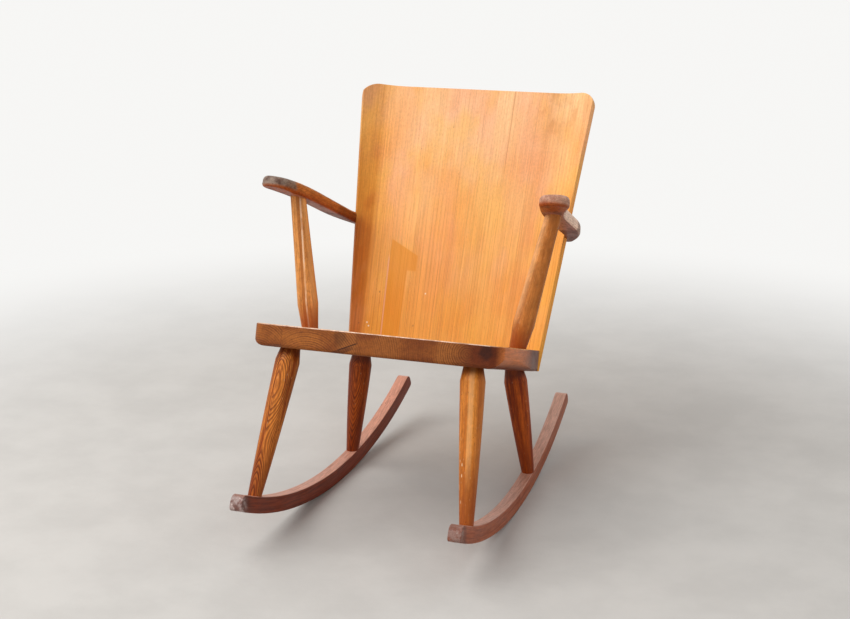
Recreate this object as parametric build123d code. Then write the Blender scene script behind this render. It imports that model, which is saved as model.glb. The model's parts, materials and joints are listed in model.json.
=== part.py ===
from build123d import *
from math import asin, atan, cos, degrees, pi, radians, sin, sqrt, tan
import os

# Rocking chair with a board seat, a bent back panel, turned legs and arm posts, two arms and two rockers.
#
# The pieces are laid out in the seat's own frame, in millimetres: X across the chair, Y rearward along the
# seat's top and Z square to it, with the origin at the middle of the seat's front edge. The finished chair
# is then tipped back on its rockers to the angle at which it balances, stood on the floor at Z = 0 and
# centred on the origin. Pieces that come in pairs are modelled at +X and mirrored to -X.

# Seat board
seat_thickness = 43.0
seat_depth = 448.0            # front edge to the front of the back panel, on the centre line
seat_front_width = 500.0      # between the front corners, before they are rounded
seat_front_bow = 10.0         # how far the front edge swells forward of its corners
seat_side_bow = 14.0          # how far each side swells beyond a straight line
seat_corner_radius = 24.0
seat_top_round = 2.5
seat_lower_round = 6.0
seat_side_round = 29.0        # round-over under the widest part of each side
side_round_margin = 1.0       # from the widest point of the side out to the round-over's own tangent
hollow_width = 350.0          # round hollow in the seat's top
hollow_depth = 8.0
hollow_lip = 80.0             # radius that softens the hollow's rim
hollow_setback = 232.0        # front edge to the middle of the hollow

# Back panel, bent forward at both sides
panel_thickness = 11.0
panel_lean = 6.0              # degrees back from square to the seat
panel_height = 554.0          # above the seat's top, along the panel
panel_seat_width = 437.0      # over its outer edges, level with the seat's top
panel_top_width = 534.0
wing_radius = 160.0           # inside radius of the bend at each side
wing_turn = 36.0              # degrees that each side turns forward
panel_corner_radius = 37.0
panel_edge_round = 1.5

# Rockers
rocker_radius = 984.0         # of the face that rolls on the floor
rocker_height = 32.3          # depth of the curved rail
rocker_width = 26.0
rocker_drop = 366.0           # seat's top down to the lowest point of the curve
rocker_low_setback = 88.0     # front edge of the seat back to that point
rocker_front_overhang = 74.0  # along the rail, ahead of the front leg
rocker_rear_overhang = 319.0  # along the rail, behind the rear leg
rocker_upper_round = 15.0     # corners of the two ends
rocker_lower_round = 8.0
rocker_edge_round = 2.0

# Legs, turned
leg_neck_diameter = 38.0
leg_shoulder_diameter = 48.0
leg_foot_diameter = 26.5
leg_shoulder_drop = 26.0      # from the seat's underside to the thickest point
leg_shoulder_round = 14.0
leg_bulge = 1.0               # swelling of the long taper beyond a straight line
front_leg_inset = 53.0        # from the seat's front edge
front_leg_side_inset = 65.5   # from the seat's side
front_leg_splay = 5.5         # degrees outward
front_leg_rake = 7.3          # degrees forward
rear_leg_inset = 57.5         # from the front of the back panel
rear_leg_side_inset = 48.5
rear_leg_splay = 7.9
rear_leg_rake = 20.5          # degrees rearward

# Arm posts, turned
post_base_diameter = 33.5
post_shoulder_diameter = 42.5
post_top_diameter = 31.5
post_shoulder_rise = 49.0     # from the seat's top to the thickest point
post_shoulder_round = 16.0
post_bulge = -0.3             # the long taper is very slightly hollow
post_setback = 218.0          # from the seat's front edge
post_side_inset = 24.5        # from the seat's side
post_splay = 10.7
post_rake = 2.8               # degrees forward

# Arms
arm_height = 261.7            # seat's top to the arm's underside, at the post
arm_slope = 5.2               # degrees that the arm falls towards the back
arm_roll = 4.0                # degrees that the arm falls towards its outer side
arm_thickness = 26.0          # over the post
arm_nose_thickness = 22.0
arm_tail_thickness = 23.0
arm_width = 44.0
arm_top_round = 10.0
arm_lower_round = 6.0
arm_housing = 2.5             # how deep the panel's edge is let into the arm
arm_outset = 4.0              # of the post's top from the middle of the arm's straight part
paddle_radius = 29.0          # round end that the hand rests on
paddle_reach = 72.0           # post's top forward to the middle of the round end
paddle_offset = 21.5          # outward from the middle of the arm's straight part
paddle_inner_flare = 9.7      # degrees at which the arm's two edges leave the round end
paddle_outer_flare = 24.0
waist_inner_round = 600.0     # radii where those edges turn into the straight part
waist_outer_round = 300.0
tail_reach = 41.0             # how far the arm runs past the panel's edge
tail_radius = 13.0            # of its round rear end
tail_bend_start = 104.0       # ahead of the panel's edge, where the outer edge starts to curve in
tail_bend_radius = 279.0
tail_inner_flare = 22.0       # degrees at which the inner edge turns in behind the panel
tail_inner_round = 60.0

# Joints between pieces
leg_tenon_diameter = 25.0
leg_tenon_length = 27.0
foot_tenon_diameter = 16.0
foot_tenon_length = 16.0
post_tenon_diameter = 20.0
post_tenon_length = 26.0
arm_tenon_diameter = 18.0
arm_tenon_length = 12.0
tenon_fit = 0.1               # radial clearance round every tenon and dowel
tenon_relief = 1.0            # room past the end of every tenon and dowel
panel_fit = 0.2               # between the back panel and the seat or arm cut to it
dowel_diameter = 6.0
dowel_in_panel = 14.0
dowel_in_arm = 22.0

# Wood screws through the foot of the back panel into the seat
screw_count = 5
screw_spacing = 60.0
screw_head_diameter = 9.0
screw_head_depth = 3.2
screw_recess = 0.3
screw_shank_diameter = 4.4
screw_length = 45.0
screw_point = 7.0
screw_fit = 0.1

# Densities, for the angle at which the chair balances
wood_density = 0.00055        # grams per cubic millimetre
steel_density = 0.00785

lean = radians(panel_lean)
wing = radians(wing_turn)
panel_back_radius = wing_radius + panel_thickness
panel_flare = atan((panel_top_width - panel_seat_width) / (2 * panel_height))

# At this origin local X runs across the panel, Y rearward through it and Z up along it.
panel_plane = Plane(origin=(0, seat_depth, 0), x_dir=(1, 0, 0), z_dir=(0, sin(lean), cos(lean)))
# The same origin, with X across the panel, Y up along it and Z out of its front.
panel_front = Plane(origin=(0, seat_depth, 0), x_dir=(1, 0, 0), z_dir=(0, -cos(lean), sin(lean)))
beyond = 2 * (seat_depth + panel_height)   # farther than anything that is cut


def panel_half_width(height):
    """Half the width over the panel's outer edges, at a height along the panel."""
    return panel_seat_width / 2 + height * tan(panel_flare)


def bend_offset(radius):
    """How far outward the panel's edge face lies from the bend's axis, at a radius of the bend."""
    return radius * sin(wing) / cos(panel_flare)


def panel_flat(height):
    """Half the width of the panel's flat middle, at a height along the panel."""
    return panel_half_width(height) - bend_offset(panel_back_radius)


def panel_edge_point(radius, level):
    """Point at +X on the panel's edge face that stands at a level above the seat's top."""
    back = radius * cos(wing) - wing_radius
    height = (level + back * sin(lean)) / cos(lean)
    return panel_plane.from_local_coords((panel_flat(height) + bend_offset(radius), back, height))


def panel_form(low, high, front_gap=0.0, back_gap=0.0, end_gap=0.0):
    """The board between two heights, flat in the middle and bent forward at the sides, grown by the gaps."""
    front = wing_radius - front_gap
    back = panel_back_radius + back_gap
    end = wing + end_gap / wing_radius
    axis_plane = panel_plane * Plane(
        origin=(panel_flat(0), -wing_radius, 0),
        x_dir=(cos(panel_flare), 0, -sin(panel_flare)),
        z_dir=(sin(panel_flare), 0, cos(panel_flare)),
    )
    with BuildSketch(panel_front.offset(front_gap)) as middle:
        with BuildLine():
            Polyline((-panel_flat(low), low), (panel_flat(low), low), (panel_flat(high), high),
                     (-panel_flat(high), high), close=True)
        make_face()
    board = extrude(middle.sketch, -front_gap - panel_thickness - back_gap)
    front_arc = [(front * sin(angle), front * cos(angle)) for angle in (0, end / 2, end)]
    back_arc = [(back * sin(angle), back * cos(angle)) for angle in (end, end / 2, 0)]
    with BuildSketch(axis_plane) as sector:
        with BuildLine():
            ThreePointArc(*front_arc)
            Line(front_arc[2], back_arc[0])
            ThreePointArc(*back_arc)
            Line(back_arc[2], front_arc[0])
        make_face()
    side = extrude(sector.sketch, beyond, both=True)
    side &= panel_plane * Pos(0, 0, (low + high) / 2) * Box(beyond, beyond, high - low)
    return board + side + side.mirror(Plane.YZ)


def circle_through(start, end, bow):
    """Centre and radius of the arc from start to end that bows out to +X."""
    chord = Vector(*end) - Vector(*start)
    radius = (chord.length ** 2 / 4 + bow ** 2) / (2 * bow)
    out = Vector(chord.Y, -chord.X).normalized()
    middle = (Vector(*start) + Vector(*end)) / 2
    return middle - out * (radius - bow), radius


seat_corner = (seat_front_width / 2, seat_front_bow)
seat_rear_corner = panel_edge_point(wing_radius, 0)
seat_side_end = (seat_rear_corner.X, seat_rear_corner.Y)
seat_side_middle, seat_side_radius = circle_through(seat_corner, seat_side_end, seat_side_bow)


def seat_half_width(setback):
    """Half the seat's width at a distance behind its front edge."""
    return seat_side_middle.X + sqrt(seat_side_radius ** 2 - (setback - seat_side_middle.Y) ** 2)


def axis_direction(splay, rake, rise):
    """Unit vector outward by splay and rearward by rake, in degrees, going up or down by rise."""
    return Vector(tan(radians(splay)), tan(radians(rake)), rise).normalized()


class Turning:
    """A turned piece's axis from its seat end to its far end, with a plane whose Z runs along it."""

    def __init__(self, start, direction, length):
        self.length = length
        self.end = start + direction * length
        self.plane = Plane(origin=start, x_dir=(1, 0, 0), z_dir=direction)


def leg_axis(side_inset, setback, splay, rake):
    """Where a leg's axis leaves the seat's underside, and its direction."""
    start = Vector(seat_half_width(setback) - side_inset, setback, -seat_thickness)
    return start, axis_direction(splay, rake, -1)


def leg_to_rail(axis, rail):
    """A leg from the seat's underside down to the rocker's upper face, which is round about rail's Z."""
    start, direction = axis
    place = rail.to_local_coords(start)
    run = rail.to_local_coords(start + direction) - place
    steep = run.X ** 2 + run.Y ** 2
    along = place.X * run.X + place.Y * run.Y
    inside = rocker_top_radius ** 2 - place.X ** 2 - place.Y ** 2
    return Turning(start, direction, (sqrt(along ** 2 + steep * inside) - along) / steep)


def rail_through(front_foot, rear_foot):
    """The upright plane through two feet, at the centre of the rocker's curve, with X along the rail."""
    run = rear_foot - front_foot
    behind = (rocker_low_setback - front_foot.Y) / run.Y
    centre = (front_foot.X + behind * run.X, rocker_low_setback, rocker_radius - rocker_drop)
    return Plane(origin=centre, x_dir=(run.X, run.Y, 0), z_dir=(run.Y, -run.X, 0))


rocker_top_radius = rocker_radius - rocker_height
front_axis = leg_axis(front_leg_side_inset, front_leg_inset, front_leg_splay, -front_leg_rake)
rear_axis = leg_axis(rear_leg_side_inset, seat_depth - rear_leg_inset, rear_leg_splay, rear_leg_rake)
rail_plane = rail_through(front_axis[0], rear_axis[0])
for _ in range(20):
    front_leg = leg_to_rail(front_axis, rail_plane)
    rear_leg = leg_to_rail(rear_axis, rail_plane)
    rail_plane = rail_through(front_leg.end, rear_leg.end)

post_direction = axis_direction(post_splay, -post_rake, 1)
post = Turning(
    Vector(seat_half_width(post_setback) - post_side_inset, post_setback, 0),
    post_direction,
    arm_height / post_direction.Z,
)

# The arm's underside is a plane through the post's top that falls towards the back. Its straight part runs
# from beside the panel's edge, where its inner side is let in, to a line just inside the post's top.
arm_fall = tan(radians(arm_slope))


def arm_level(setback, rise=0.0):
    """Height of the arm's underside, or of a level above it, at a distance behind the seat's front."""
    return arm_height - arm_fall * (setback - post.end.Y) + rise


def find_arm_joint(radius):
    """Point of the panel's edge face, at a radius of the bend, that is level with the arm's middle."""
    level = arm_level(seat_depth, arm_tail_thickness / 2)
    for _ in range(20):
        point = panel_edge_point(radius, level)
        level = arm_level(point.Y, arm_tail_thickness / 2)
    return point


arm_joint = find_arm_joint(panel_back_radius)
arm_rear = Vector(arm_joint.X - arm_housing + arm_width / 2, arm_joint.Y, arm_level(arm_joint.Y))
arm_front = Vector(post.end.X - arm_outset, post.end.Y, arm_level(post.end.Y))
arm_along = (arm_front - arm_rear).normalized()
arm_level_across = Vector(-arm_along.Y, arm_along.X, 0).normalized()
arm_across = arm_level_across.rotate(Axis((0, 0, 0), arm_along), arm_roll)
# At the panel's edge, with X outward across the arm, Y forward along it and Z down out of its underside.
arm_plane = Plane(origin=arm_rear, x_dir=arm_across, z_dir=arm_across.cross(arm_along))


def corner_at(sketch, x, y):
    """The corner of a sketch that lies nearest to a point."""
    return sketch.vertices().sort_by(lambda corner: abs(corner.X - x) + abs(corner.Y - y))[0]


def turned_form(turning, radii, shoulder, bulge, shoulder_round):
    """A turned piece, left overlong at both ends: neck, shoulder, then a long taper that swells slightly."""
    neck, thick, thin = radii
    low = -thick
    high = turning.length + thick
    middle = ((thick + thin) / 2 + bulge, (shoulder + turning.length) / 2)
    with BuildSketch(Plane.XZ) as profile:
        with BuildLine():
            Polyline((0, high), (0, low), (neck, low), (neck, 0), (thick, shoulder))
            ThreePointArc((thick, shoulder), middle, (thin, turning.length))
            Polyline((thin, turning.length), (thin, high), (0, high))
        make_face()
        fillet(corner_at(profile, thick, shoulder), shoulder_round)
    return turning.plane * revolve(profile.sketch, Axis.Z)


def rod(plane, diameter, low, high):
    """A round bar along the plane's Z, from low to high."""
    bar = Cylinder(diameter / 2, high - low, align=(Align.CENTER, Align.CENTER, Align.MIN))
    return plane * (Pos(0, 0, low) * bar)


def tenon(plane, diameter, tip, root):
    """A round tenon along the plane's Z, from its tip to its root inside its own piece."""
    return rod(plane, diameter, min(tip, root), max(tip, root))


def socket(plane, diameter, tip, mouth):
    """The hole for a tenon, from just past its tip out through the surface at its mouth."""
    away = tenon_relief if tip > mouth else -tenon_relief
    return rod(plane, diameter + 2 * tenon_fit, min(tip + away, mouth), max(tip + away, mouth))


def make_leg(turning):
    """A leg between the seat's underside and the rocker, with a round tenon at each end."""
    radii = (leg_neck_diameter / 2, leg_shoulder_diameter / 2, leg_foot_diameter / 2)
    leg = turned_form(turning, radii, leg_shoulder_drop, leg_bulge, leg_shoulder_round)
    leg = split(leg, Plane.XY.offset(-seat_thickness), keep=Keep.BOTTOM)
    leg &= rail_plane * Cylinder(rocker_top_radius, seat_front_width)
    leg += tenon(turning.plane, leg_tenon_diameter, -leg_tenon_length, leg_shoulder_drop)
    foot = turning.length
    leg += tenon(turning.plane, foot_tenon_diameter, foot + foot_tenon_length, foot - leg_shoulder_drop)
    return leg


def make_post():
    """An arm post between the seat's top and the arm, with a round tenon at each end."""
    radii = (post_base_diameter / 2, post_shoulder_diameter / 2, post_top_diameter / 2)
    piece = turned_form(post, radii, post_shoulder_rise, post_bulge, post_shoulder_round)
    piece = split(piece, Plane.XY, keep=Keep.TOP)
    piece = split(piece, arm_plane, keep=Keep.TOP)
    piece += tenon(post.plane, post_tenon_diameter, -post_tenon_length, post_shoulder_rise)
    top = post.length
    piece += tenon(post.plane, arm_tenon_diameter, top + arm_tenon_length, top - post_shoulder_rise)
    return piece


def rail_point(radius, angle):
    """Point of the rockers' curve, in rail_plane, at an angle behind its lowest point."""
    return (radius * sin(angle), -radius * cos(angle))


def make_rocker():
    """A rocker: a curved rail that passes under both legs of its side and rounds off at both ends."""
    middle_radius = rocker_radius - rocker_height / 2
    front = asin(rail_plane.to_local_coords(front_leg.end).X / rocker_top_radius)
    rear = asin(rail_plane.to_local_coords(rear_leg.end).X / rocker_top_radius)
    front -= rocker_front_overhang / middle_radius
    rear += rocker_rear_overhang / middle_radius
    low = [rail_point(rocker_radius, angle) for angle in (front, (front + rear) / 2, rear)]
    high = [rail_point(rocker_top_radius, angle) for angle in (rear, (front + rear) / 2, front)]
    with BuildSketch(rail_plane) as side:
        with BuildLine():
            ThreePointArc(*low)
            Line(low[2], high[0])
            ThreePointArc(*high)
            Line(high[2], low[0])
        make_face()
        fillet([corner_at(side, *high[0]), corner_at(side, *high[2])], rocker_upper_round)
        fillet([corner_at(side, *low[0]), corner_at(side, *low[2])], rocker_lower_round)
    rail = extrude(side.sketch, rocker_width / 2, both=True)
    outline = rail.faces().filter_by(rail_plane).edges()
    rail = fillet(outline, rocker_edge_round)
    for leg in (front_leg, rear_leg):
        foot = leg.length
        rail -= socket(leg.plane, foot_tenon_diameter, foot + foot_tenon_length, foot - rocker_height)
    return rail


def make_seat():
    """The seat board: bowed front and sides, hollowed top, and a rear edge cut to the panel's curve."""
    corner_x, corner_y = seat_corner
    side_x, side_y = seat_side_end
    swell_y = (corner_y + side_y) / 2
    swell_x = seat_half_width(swell_y)
    rear = seat_depth + panel_thickness
    with BuildSketch() as plan:
        with BuildLine():
            ThreePointArc((-corner_x, corner_y), (0, 0), (corner_x, corner_y))
            ThreePointArc((corner_x, corner_y), (swell_x, swell_y), (side_x, side_y))
            Polyline((side_x, side_y), (side_x, rear), (-side_x, rear), (-side_x, side_y))
            ThreePointArc((-side_x, side_y), (-swell_x, swell_y), (-corner_x, corner_y))
        make_face()
        fillet(corner_at(plan, -corner_x, corner_y), seat_corner_radius)
        fillet(corner_at(plan, corner_x, corner_y), seat_corner_radius)
    seat = extrude(plan.sketch, -seat_thickness)
    for face, radius in ((Axis.Z, seat_top_round), (-Axis.Z, seat_lower_round)):
        rim = seat.faces().sort_by(face)[-1].edges()
        seat = fillet(rim.filter_by(lambda e: e.center().Y < side_y), radius)
    seat -= side_rounds()
    seat -= hollow()
    reach = rear - seat_rear_corner.Y
    seat -= panel_form(-2 * seat_thickness, 2 * seat_thickness, front_gap=panel_fit, back_gap=reach,
                       end_gap=panel_fit)
    return seat


def side_rounds():
    """What the round-over takes off the lower edge of the seat's two sides."""
    radius = seat_side_round
    widest = seat_side_middle.X + seat_side_radius
    centre_x = widest + side_round_margin - radius
    corner = Pos(centre_x, 0, radius - seat_thickness) * Box(
        2 * radius, 4 * seat_depth, 2 * radius, align=(Align.MIN, Align.CENTER, Align.MAX)
    )
    round_bar = Pos(centre_x, 0, radius - seat_thickness) * Rot(90, 0, 0) * Cylinder(radius, 5 * seat_depth)
    waste = corner - round_bar
    return waste + waste.mirror(Plane.YZ)


def hollow():
    """What is taken out of the seat's top: part of a ball, with a softened rim."""
    half = hollow_width / 2
    ball_radius = (half ** 2 + hollow_depth ** 2) / (2 * hollow_depth)
    turn = asin(half / ball_radius) / 2
    between = (ball_radius * sin(turn), ball_radius * (1 - cos(turn)) - hollow_depth)
    outer = half + hollow_lip * tan(turn)
    with BuildSketch(Plane.XZ) as profile:
        with BuildLine():
            ThreePointArc((0, -hollow_depth), between, (half, 0))
            Polyline((half, 0), (outer, 0), (outer, hollow_depth), (0, hollow_depth), (0, -hollow_depth))
        make_face()
        fillet(corner_at(profile, half, 0), hollow_lip)
    return Pos(0, hollow_setback, 0) * revolve(profile.sketch, Axis.Z)


def panel_corner():
    """What rounds off the panel's top corner at +X, cut square to its front."""
    down = Vector(-sin(panel_flare), -cos(panel_flare))
    out = Vector(cos(panel_flare), -sin(panel_flare))
    corner = Vector(panel_half_width(panel_height), panel_height)
    reach = panel_corner_radius / tan((pi / 2 - panel_flare) / 2)
    top = corner - Vector(reach, 0)
    low = corner + down * reach
    centre = top - Vector(0, panel_corner_radius)
    nearest = centre + (corner - centre).normalized() * panel_corner_radius
    spare = panel_corner_radius
    with BuildSketch(panel_front) as waste:
        with BuildLine():
            ThreePointArc(top, nearest, low)
            Polyline(low, low + out * spare, corner + (out + Vector(0, 1)) * spare, top + Vector(0, spare),
                     top)
        make_face()
    return extrude(waste.sketch, 2 * wing_radius, both=True)


def make_panel():
    """The bent back panel, standing behind the seat's rear edge and level with its underside."""
    panel = panel_form(-2 * seat_thickness, panel_height)
    panel = split(panel, Plane.XY.offset(-seat_thickness), keep=Keep.TOP)
    corner = panel_corner()
    panel -= [corner, corner.mirror(Plane.YZ)]
    return fillet(panel.edges(), panel_edge_round)


def tangent_run(centre, radius, side, flare, edge):
    """Where a line leaves a round end on its inner (-1) or outer (1) side, and where it reaches X = edge."""
    touch = centre + Vector(side * cos(flare), -side * sin(flare)) * radius
    return touch, touch - Vector(tan(flare), 1) * ((touch.X - edge) / tan(flare))


def arm_plan():
    """The arm's outline: a round end for the hand, a straight part and a tail that bends in at the back."""
    half = arm_width / 2
    hand = Vector(paddle_offset, (arm_front - arm_rear).length + paddle_reach)
    inner, inner_waist = tangent_run(hand, paddle_radius, -1, radians(paddle_inner_flare), -half)
    outer, outer_waist = tangent_run(hand, paddle_radius, 1, radians(paddle_outer_flare), half)

    bend = Vector(half - tail_bend_radius, tail_bend_start)
    tail_y = tail_radius - tail_reach
    tail_x = bend.X + sqrt((tail_bend_radius - tail_radius) ** 2 - (tail_y - bend.Y) ** 2)
    tail = Vector(tail_x, tail_y)
    outward = (tail - bend).normalized()
    tail_outer = bend + outward * tail_bend_radius
    halfway = bend + (outward + Vector(1, 0)).normalized() * tail_bend_radius
    tail_inner, tail_turn = tangent_run(tail, tail_radius, -1, radians(tail_inner_flare), -half)
    with BuildSketch(arm_plane) as plan:
        with BuildLine():
            ThreePointArc(inner, hand + Vector(0, paddle_radius), outer)
            Polyline(outer, outer_waist, (half, bend.Y))
            ThreePointArc((half, bend.Y), halfway, tail_outer)
            ThreePointArc(tail_outer, tail - Vector(0, tail_radius), tail_inner)
            Polyline(tail_inner, tail_turn, inner_waist, inner)
        make_face()
        fillet(corner_at(plan, inner_waist.X, inner_waist.Y), waist_inner_round)
        fillet(corner_at(plan, outer_waist.X, outer_waist.Y), waist_outer_round)
        fillet(corner_at(plan, tail_turn.X, tail_turn.Y), tail_inner_round)
    return plan.sketch


def arm_side():
    """The arm seen from its side: a flat underside, and a top that curves down ahead of the post."""
    post_y = (arm_front - arm_rear).length
    nose_y = post_y + paddle_reach + paddle_radius
    with BuildSketch(arm_plane * Plane.YZ) as side:
        with BuildLine():
            rear = Line((-tail_reach, -arm_tail_thickness), (post_y, -arm_thickness))
            TangentArc(rear @ 1, (nose_y, -arm_nose_thickness), tangent=rear % 1)
            Polyline((nose_y, -arm_nose_thickness), (nose_y, 0), (-tail_reach, 0), rear @ 0)
        make_face()
    return side.sketch


def make_arm():
    """An arm: a bar let in over the panel's edge that spreads into a round paddle for the hand."""
    arm = extrude(arm_plan(), -arm_thickness) & extrude(arm_side(), 2 * arm_width, both=True)
    down = Axis(arm_plane.origin, arm_plane.z_dir)
    underside = arm.faces().sort_by(down)[-1]
    arm = fillet(underside.edges(), arm_lower_round)
    top = arm.faces().sort_by(down)[0]
    return fillet(top.edges(), arm_top_round)


def dowel_plane():
    """In the middle of the panel's edge, level with the arm, with Z out of the edge into the arm."""
    out = panel_plane.x_dir * cos(wing) - panel_plane.y_dir * sin(wing)
    return Plane(origin=find_arm_joint(wing_radius + panel_thickness / 2), z_dir=out)


def screw_form(grow=0.0, relief=0.0):
    """A countersunk screw that points along Z from the panel's back, or a form grown round it."""
    head = screw_head_diameter / 2 + grow
    shank = screw_shank_diameter / 2 + grow
    neck = screw_recess + screw_head_depth
    tip = screw_length + relief
    with BuildSketch(Plane.XZ) as profile:
        with BuildLine():
            Polyline((0, screw_recess), (head, screw_recess), (shank, neck), (shank, tip - screw_point))
            Polyline((shank, tip - screw_point), (0, tip), (0, screw_recess))
        make_face()
    return revolve(profile.sketch, Axis.Z)


def screw_hole():
    """The countersunk hole for a screw, open at the panel's back."""
    opening = rod(Plane.XY, screw_head_diameter + 2 * screw_fit, -screw_head_depth, screw_recess)
    return screw_form(screw_fit, tenon_relief) + opening


def screw_planes():
    """Where the screws stand: in a row on the panel's back, level with the middle of the seat's edge."""
    height = (panel_thickness * sin(lean) - seat_thickness / 2) / cos(lean)
    middle = (screw_count - 1) / 2
    places = [((i - middle) * screw_spacing, panel_thickness, height) for i in range(screw_count)]
    points = [panel_plane.from_local_coords(place) for place in places]
    return [Plane(origin=point, x_dir=panel_plane.x_dir, z_dir=-panel_plane.y_dir) for point in points]


def both_sides(form):
    """The same form at +X and at -X."""
    return [form, form.mirror(Plane.YZ)]


def group(forms):
    """Several separate solids as one piece of the list."""
    return Compound([solid for form in forms for solid in form.solids()])


def build_pieces():
    """Every piece in the seat's frame, by name. Left and right are those of a person in the chair."""
    legs = {"front_leg": front_leg, "rear_leg": rear_leg}
    seat = make_seat()
    for leg in legs.values():
        seat -= both_sides(socket(leg.plane, leg_tenon_diameter, -leg_tenon_length, leg_shoulder_drop))
    seat -= both_sides(socket(post.plane, post_tenon_diameter, -post_tenon_length, post_shoulder_rise))

    peg_plane = dowel_plane()
    peg_hole = rod(
        peg_plane, dowel_diameter + 2 * tenon_fit, -dowel_in_panel - tenon_relief, dowel_in_arm + tenon_relief
    )
    panel = make_panel() - both_sides(peg_hole)
    holes = [plane * screw_hole() for plane in screw_planes()]
    arm = make_arm() - peg_hole
    arm -= panel_form(-seat_thickness, panel_height, panel_fit, panel_fit, panel_fit)
    arm -= socket(post.plane, arm_tenon_diameter, post.length + arm_tenon_length, post.length - arm_thickness)

    pieces = {"seat": seat - holes, "back_panel": panel - holes}
    paired = {name: make_leg(leg) for name, leg in legs.items()}
    paired.update(rocker=make_rocker(), arm_post=make_post(), arm=arm)
    for name, form in paired.items():
        pieces[name + "_left"], pieces[name + "_right"] = both_sides(form)
    pieces["back_screws"] = group(plane * screw_form() for plane in screw_planes())
    pieces["arm_dowels"] = group(
        both_sides(rod(peg_plane, dowel_diameter, -dowel_in_panel, dowel_in_arm))
    )
    return pieces


def balance_angle(pieces):
    """Degrees to tip the chair back so that its weight is over the point where the rockers touch."""
    weight = 0
    moment = Vector(0, 0, 0)
    for name, piece in pieces.items():
        density = steel_density if name == "back_screws" else wood_density
        for solid in piece.solids():
            weight += density * solid.volume
            moment += solid.center(CenterOf.MASS) * (density * solid.volume)
    offset = moment / weight - rail_plane.origin
    return degrees(atan(-offset.Y / offset.Z))


def stand_on_floor(pieces):
    """The pieces tipped back to rest, with the lowest point on the floor and the origin centred below."""
    tip = Rot(-balance_angle(pieces), 0, 0)
    tipped = {name: tip * piece for name, piece in pieces.items()}
    box = group(tipped.values()).bounding_box()
    floor = Pos(-box.center().X, -box.center().Y, -box.min.Z)
    return {name: floor * piece for name, piece in tipped.items()}


os.makedirs("parts", exist_ok=True)
for name, piece in stand_on_floor(build_pieces()).items():
    export_step(piece, f"parts/{name}.step")
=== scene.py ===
import json
from math import atan2, cos, pi, radians, sin

import bpy
from bpy.props import FloatProperty, FloatVectorProperty, PointerProperty
from mathutils import Matrix, Vector


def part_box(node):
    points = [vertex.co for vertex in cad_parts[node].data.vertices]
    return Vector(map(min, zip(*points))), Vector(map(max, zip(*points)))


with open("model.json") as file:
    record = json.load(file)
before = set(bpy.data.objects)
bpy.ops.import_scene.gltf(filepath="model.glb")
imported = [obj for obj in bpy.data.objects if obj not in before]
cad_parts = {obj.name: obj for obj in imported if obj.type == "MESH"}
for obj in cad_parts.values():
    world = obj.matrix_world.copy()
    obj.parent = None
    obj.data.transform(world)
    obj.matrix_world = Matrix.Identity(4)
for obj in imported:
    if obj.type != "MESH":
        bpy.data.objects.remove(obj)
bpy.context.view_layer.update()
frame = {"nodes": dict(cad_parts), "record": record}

bl_info = {
    "name": "Rocking Chair Finishes",
    "version": (1, 0, 0),
    "blender": (4, 5, 0),
    "location": "3D Viewport > Sidebar > Chair",
    "description": "Wood finishes, floor, lamp and camera for a panel-back rocking chair",
    "category": "Object",
}

# The chair's own directions, from the flat back of the panel, which leans PANEL_LEAN back from square to
# the seat. The arms fall towards the rear by ARMS_TO_SEAT more than the seat does. PANEL_FOOT is the
# middle of the panel's front where it meets the seat, and FRONT_EDGE the middle of the seat's front edge,
# on its top.
PANEL_LEAN = radians(6)
PANEL_THICKNESS = 0.011
SEAT_DEPTH = 0.448
MOUNT_HEIGHT = 0.3
ARMS_TO_SEAT = radians(5.2)
BACK_MOUNT = next(m for m in frame["record"]["mounts"] if m["name"] == "panel_back")
BACK_NORMAL = Vector(BACK_MOUNT["axis"])
PANEL_UP = Vector((0, -BACK_NORMAL.z, BACK_NORMAL.y))
SEAT_TILT = atan2(-BACK_NORMAL.z, BACK_NORMAL.y) - PANEL_LEAN
SEAT_REARWARD = Vector((0, cos(SEAT_TILT), -sin(SEAT_TILT)))
SEAT_UP = Vector((0, sin(SEAT_TILT), cos(SEAT_TILT)))
PANEL_FOOT = Vector(BACK_MOUNT["pos_m"]) - PANEL_UP * MOUNT_HEIGHT - BACK_NORMAL * PANEL_THICKNESS
FRONT_EDGE = PANEL_FOOT - SEAT_REARWARD * SEAT_DEPTH
ACROSS = Vector((1, 0, 0))
ARM_TILT = SEAT_TILT + ARMS_TO_SEAT
ARM_REARWARD = Vector((0, cos(ARM_TILT), -sin(ARM_TILT)))
ARM_UP = Vector((0, sin(ARM_TILT), cos(ARM_TILT)))

# How dark a growth ring is from its early wood to its late edge.
SHARP_LATE = ((0.0, 0.0), (0.45, 0.06), (0.8, 0.7), (0.93, 1.0), (1.0, 0.0))
BOLD_LATE = ((0.0, 0.0), (0.36, 0.06), (0.66, 0.8), (0.93, 1.0), (1.0, 0.0))

GLOSS = 0.12
VARNISH = dict(coat=0.10, coat_roughness=0.25)
SATIN_VARNISH = dict(coat=0.08, coat_roughness=0.28)

WHITE_BACKGROUND = (0.93, 0.925, 0.91)


def rgba(colour):
    return (*colour, 1.0)


def dress(node, material):
    """Gives a CAD node its finish."""
    slots = frame["nodes"][node].data.materials
    slots.clear()
    slots.append(material)


def settings():
    return bpy.context.scene.rocking_chair


def colour_property(name, description, default):
    return FloatVectorProperty(
        name=name, description=description, subtype="COLOR", min=0, max=1, default=default)


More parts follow.
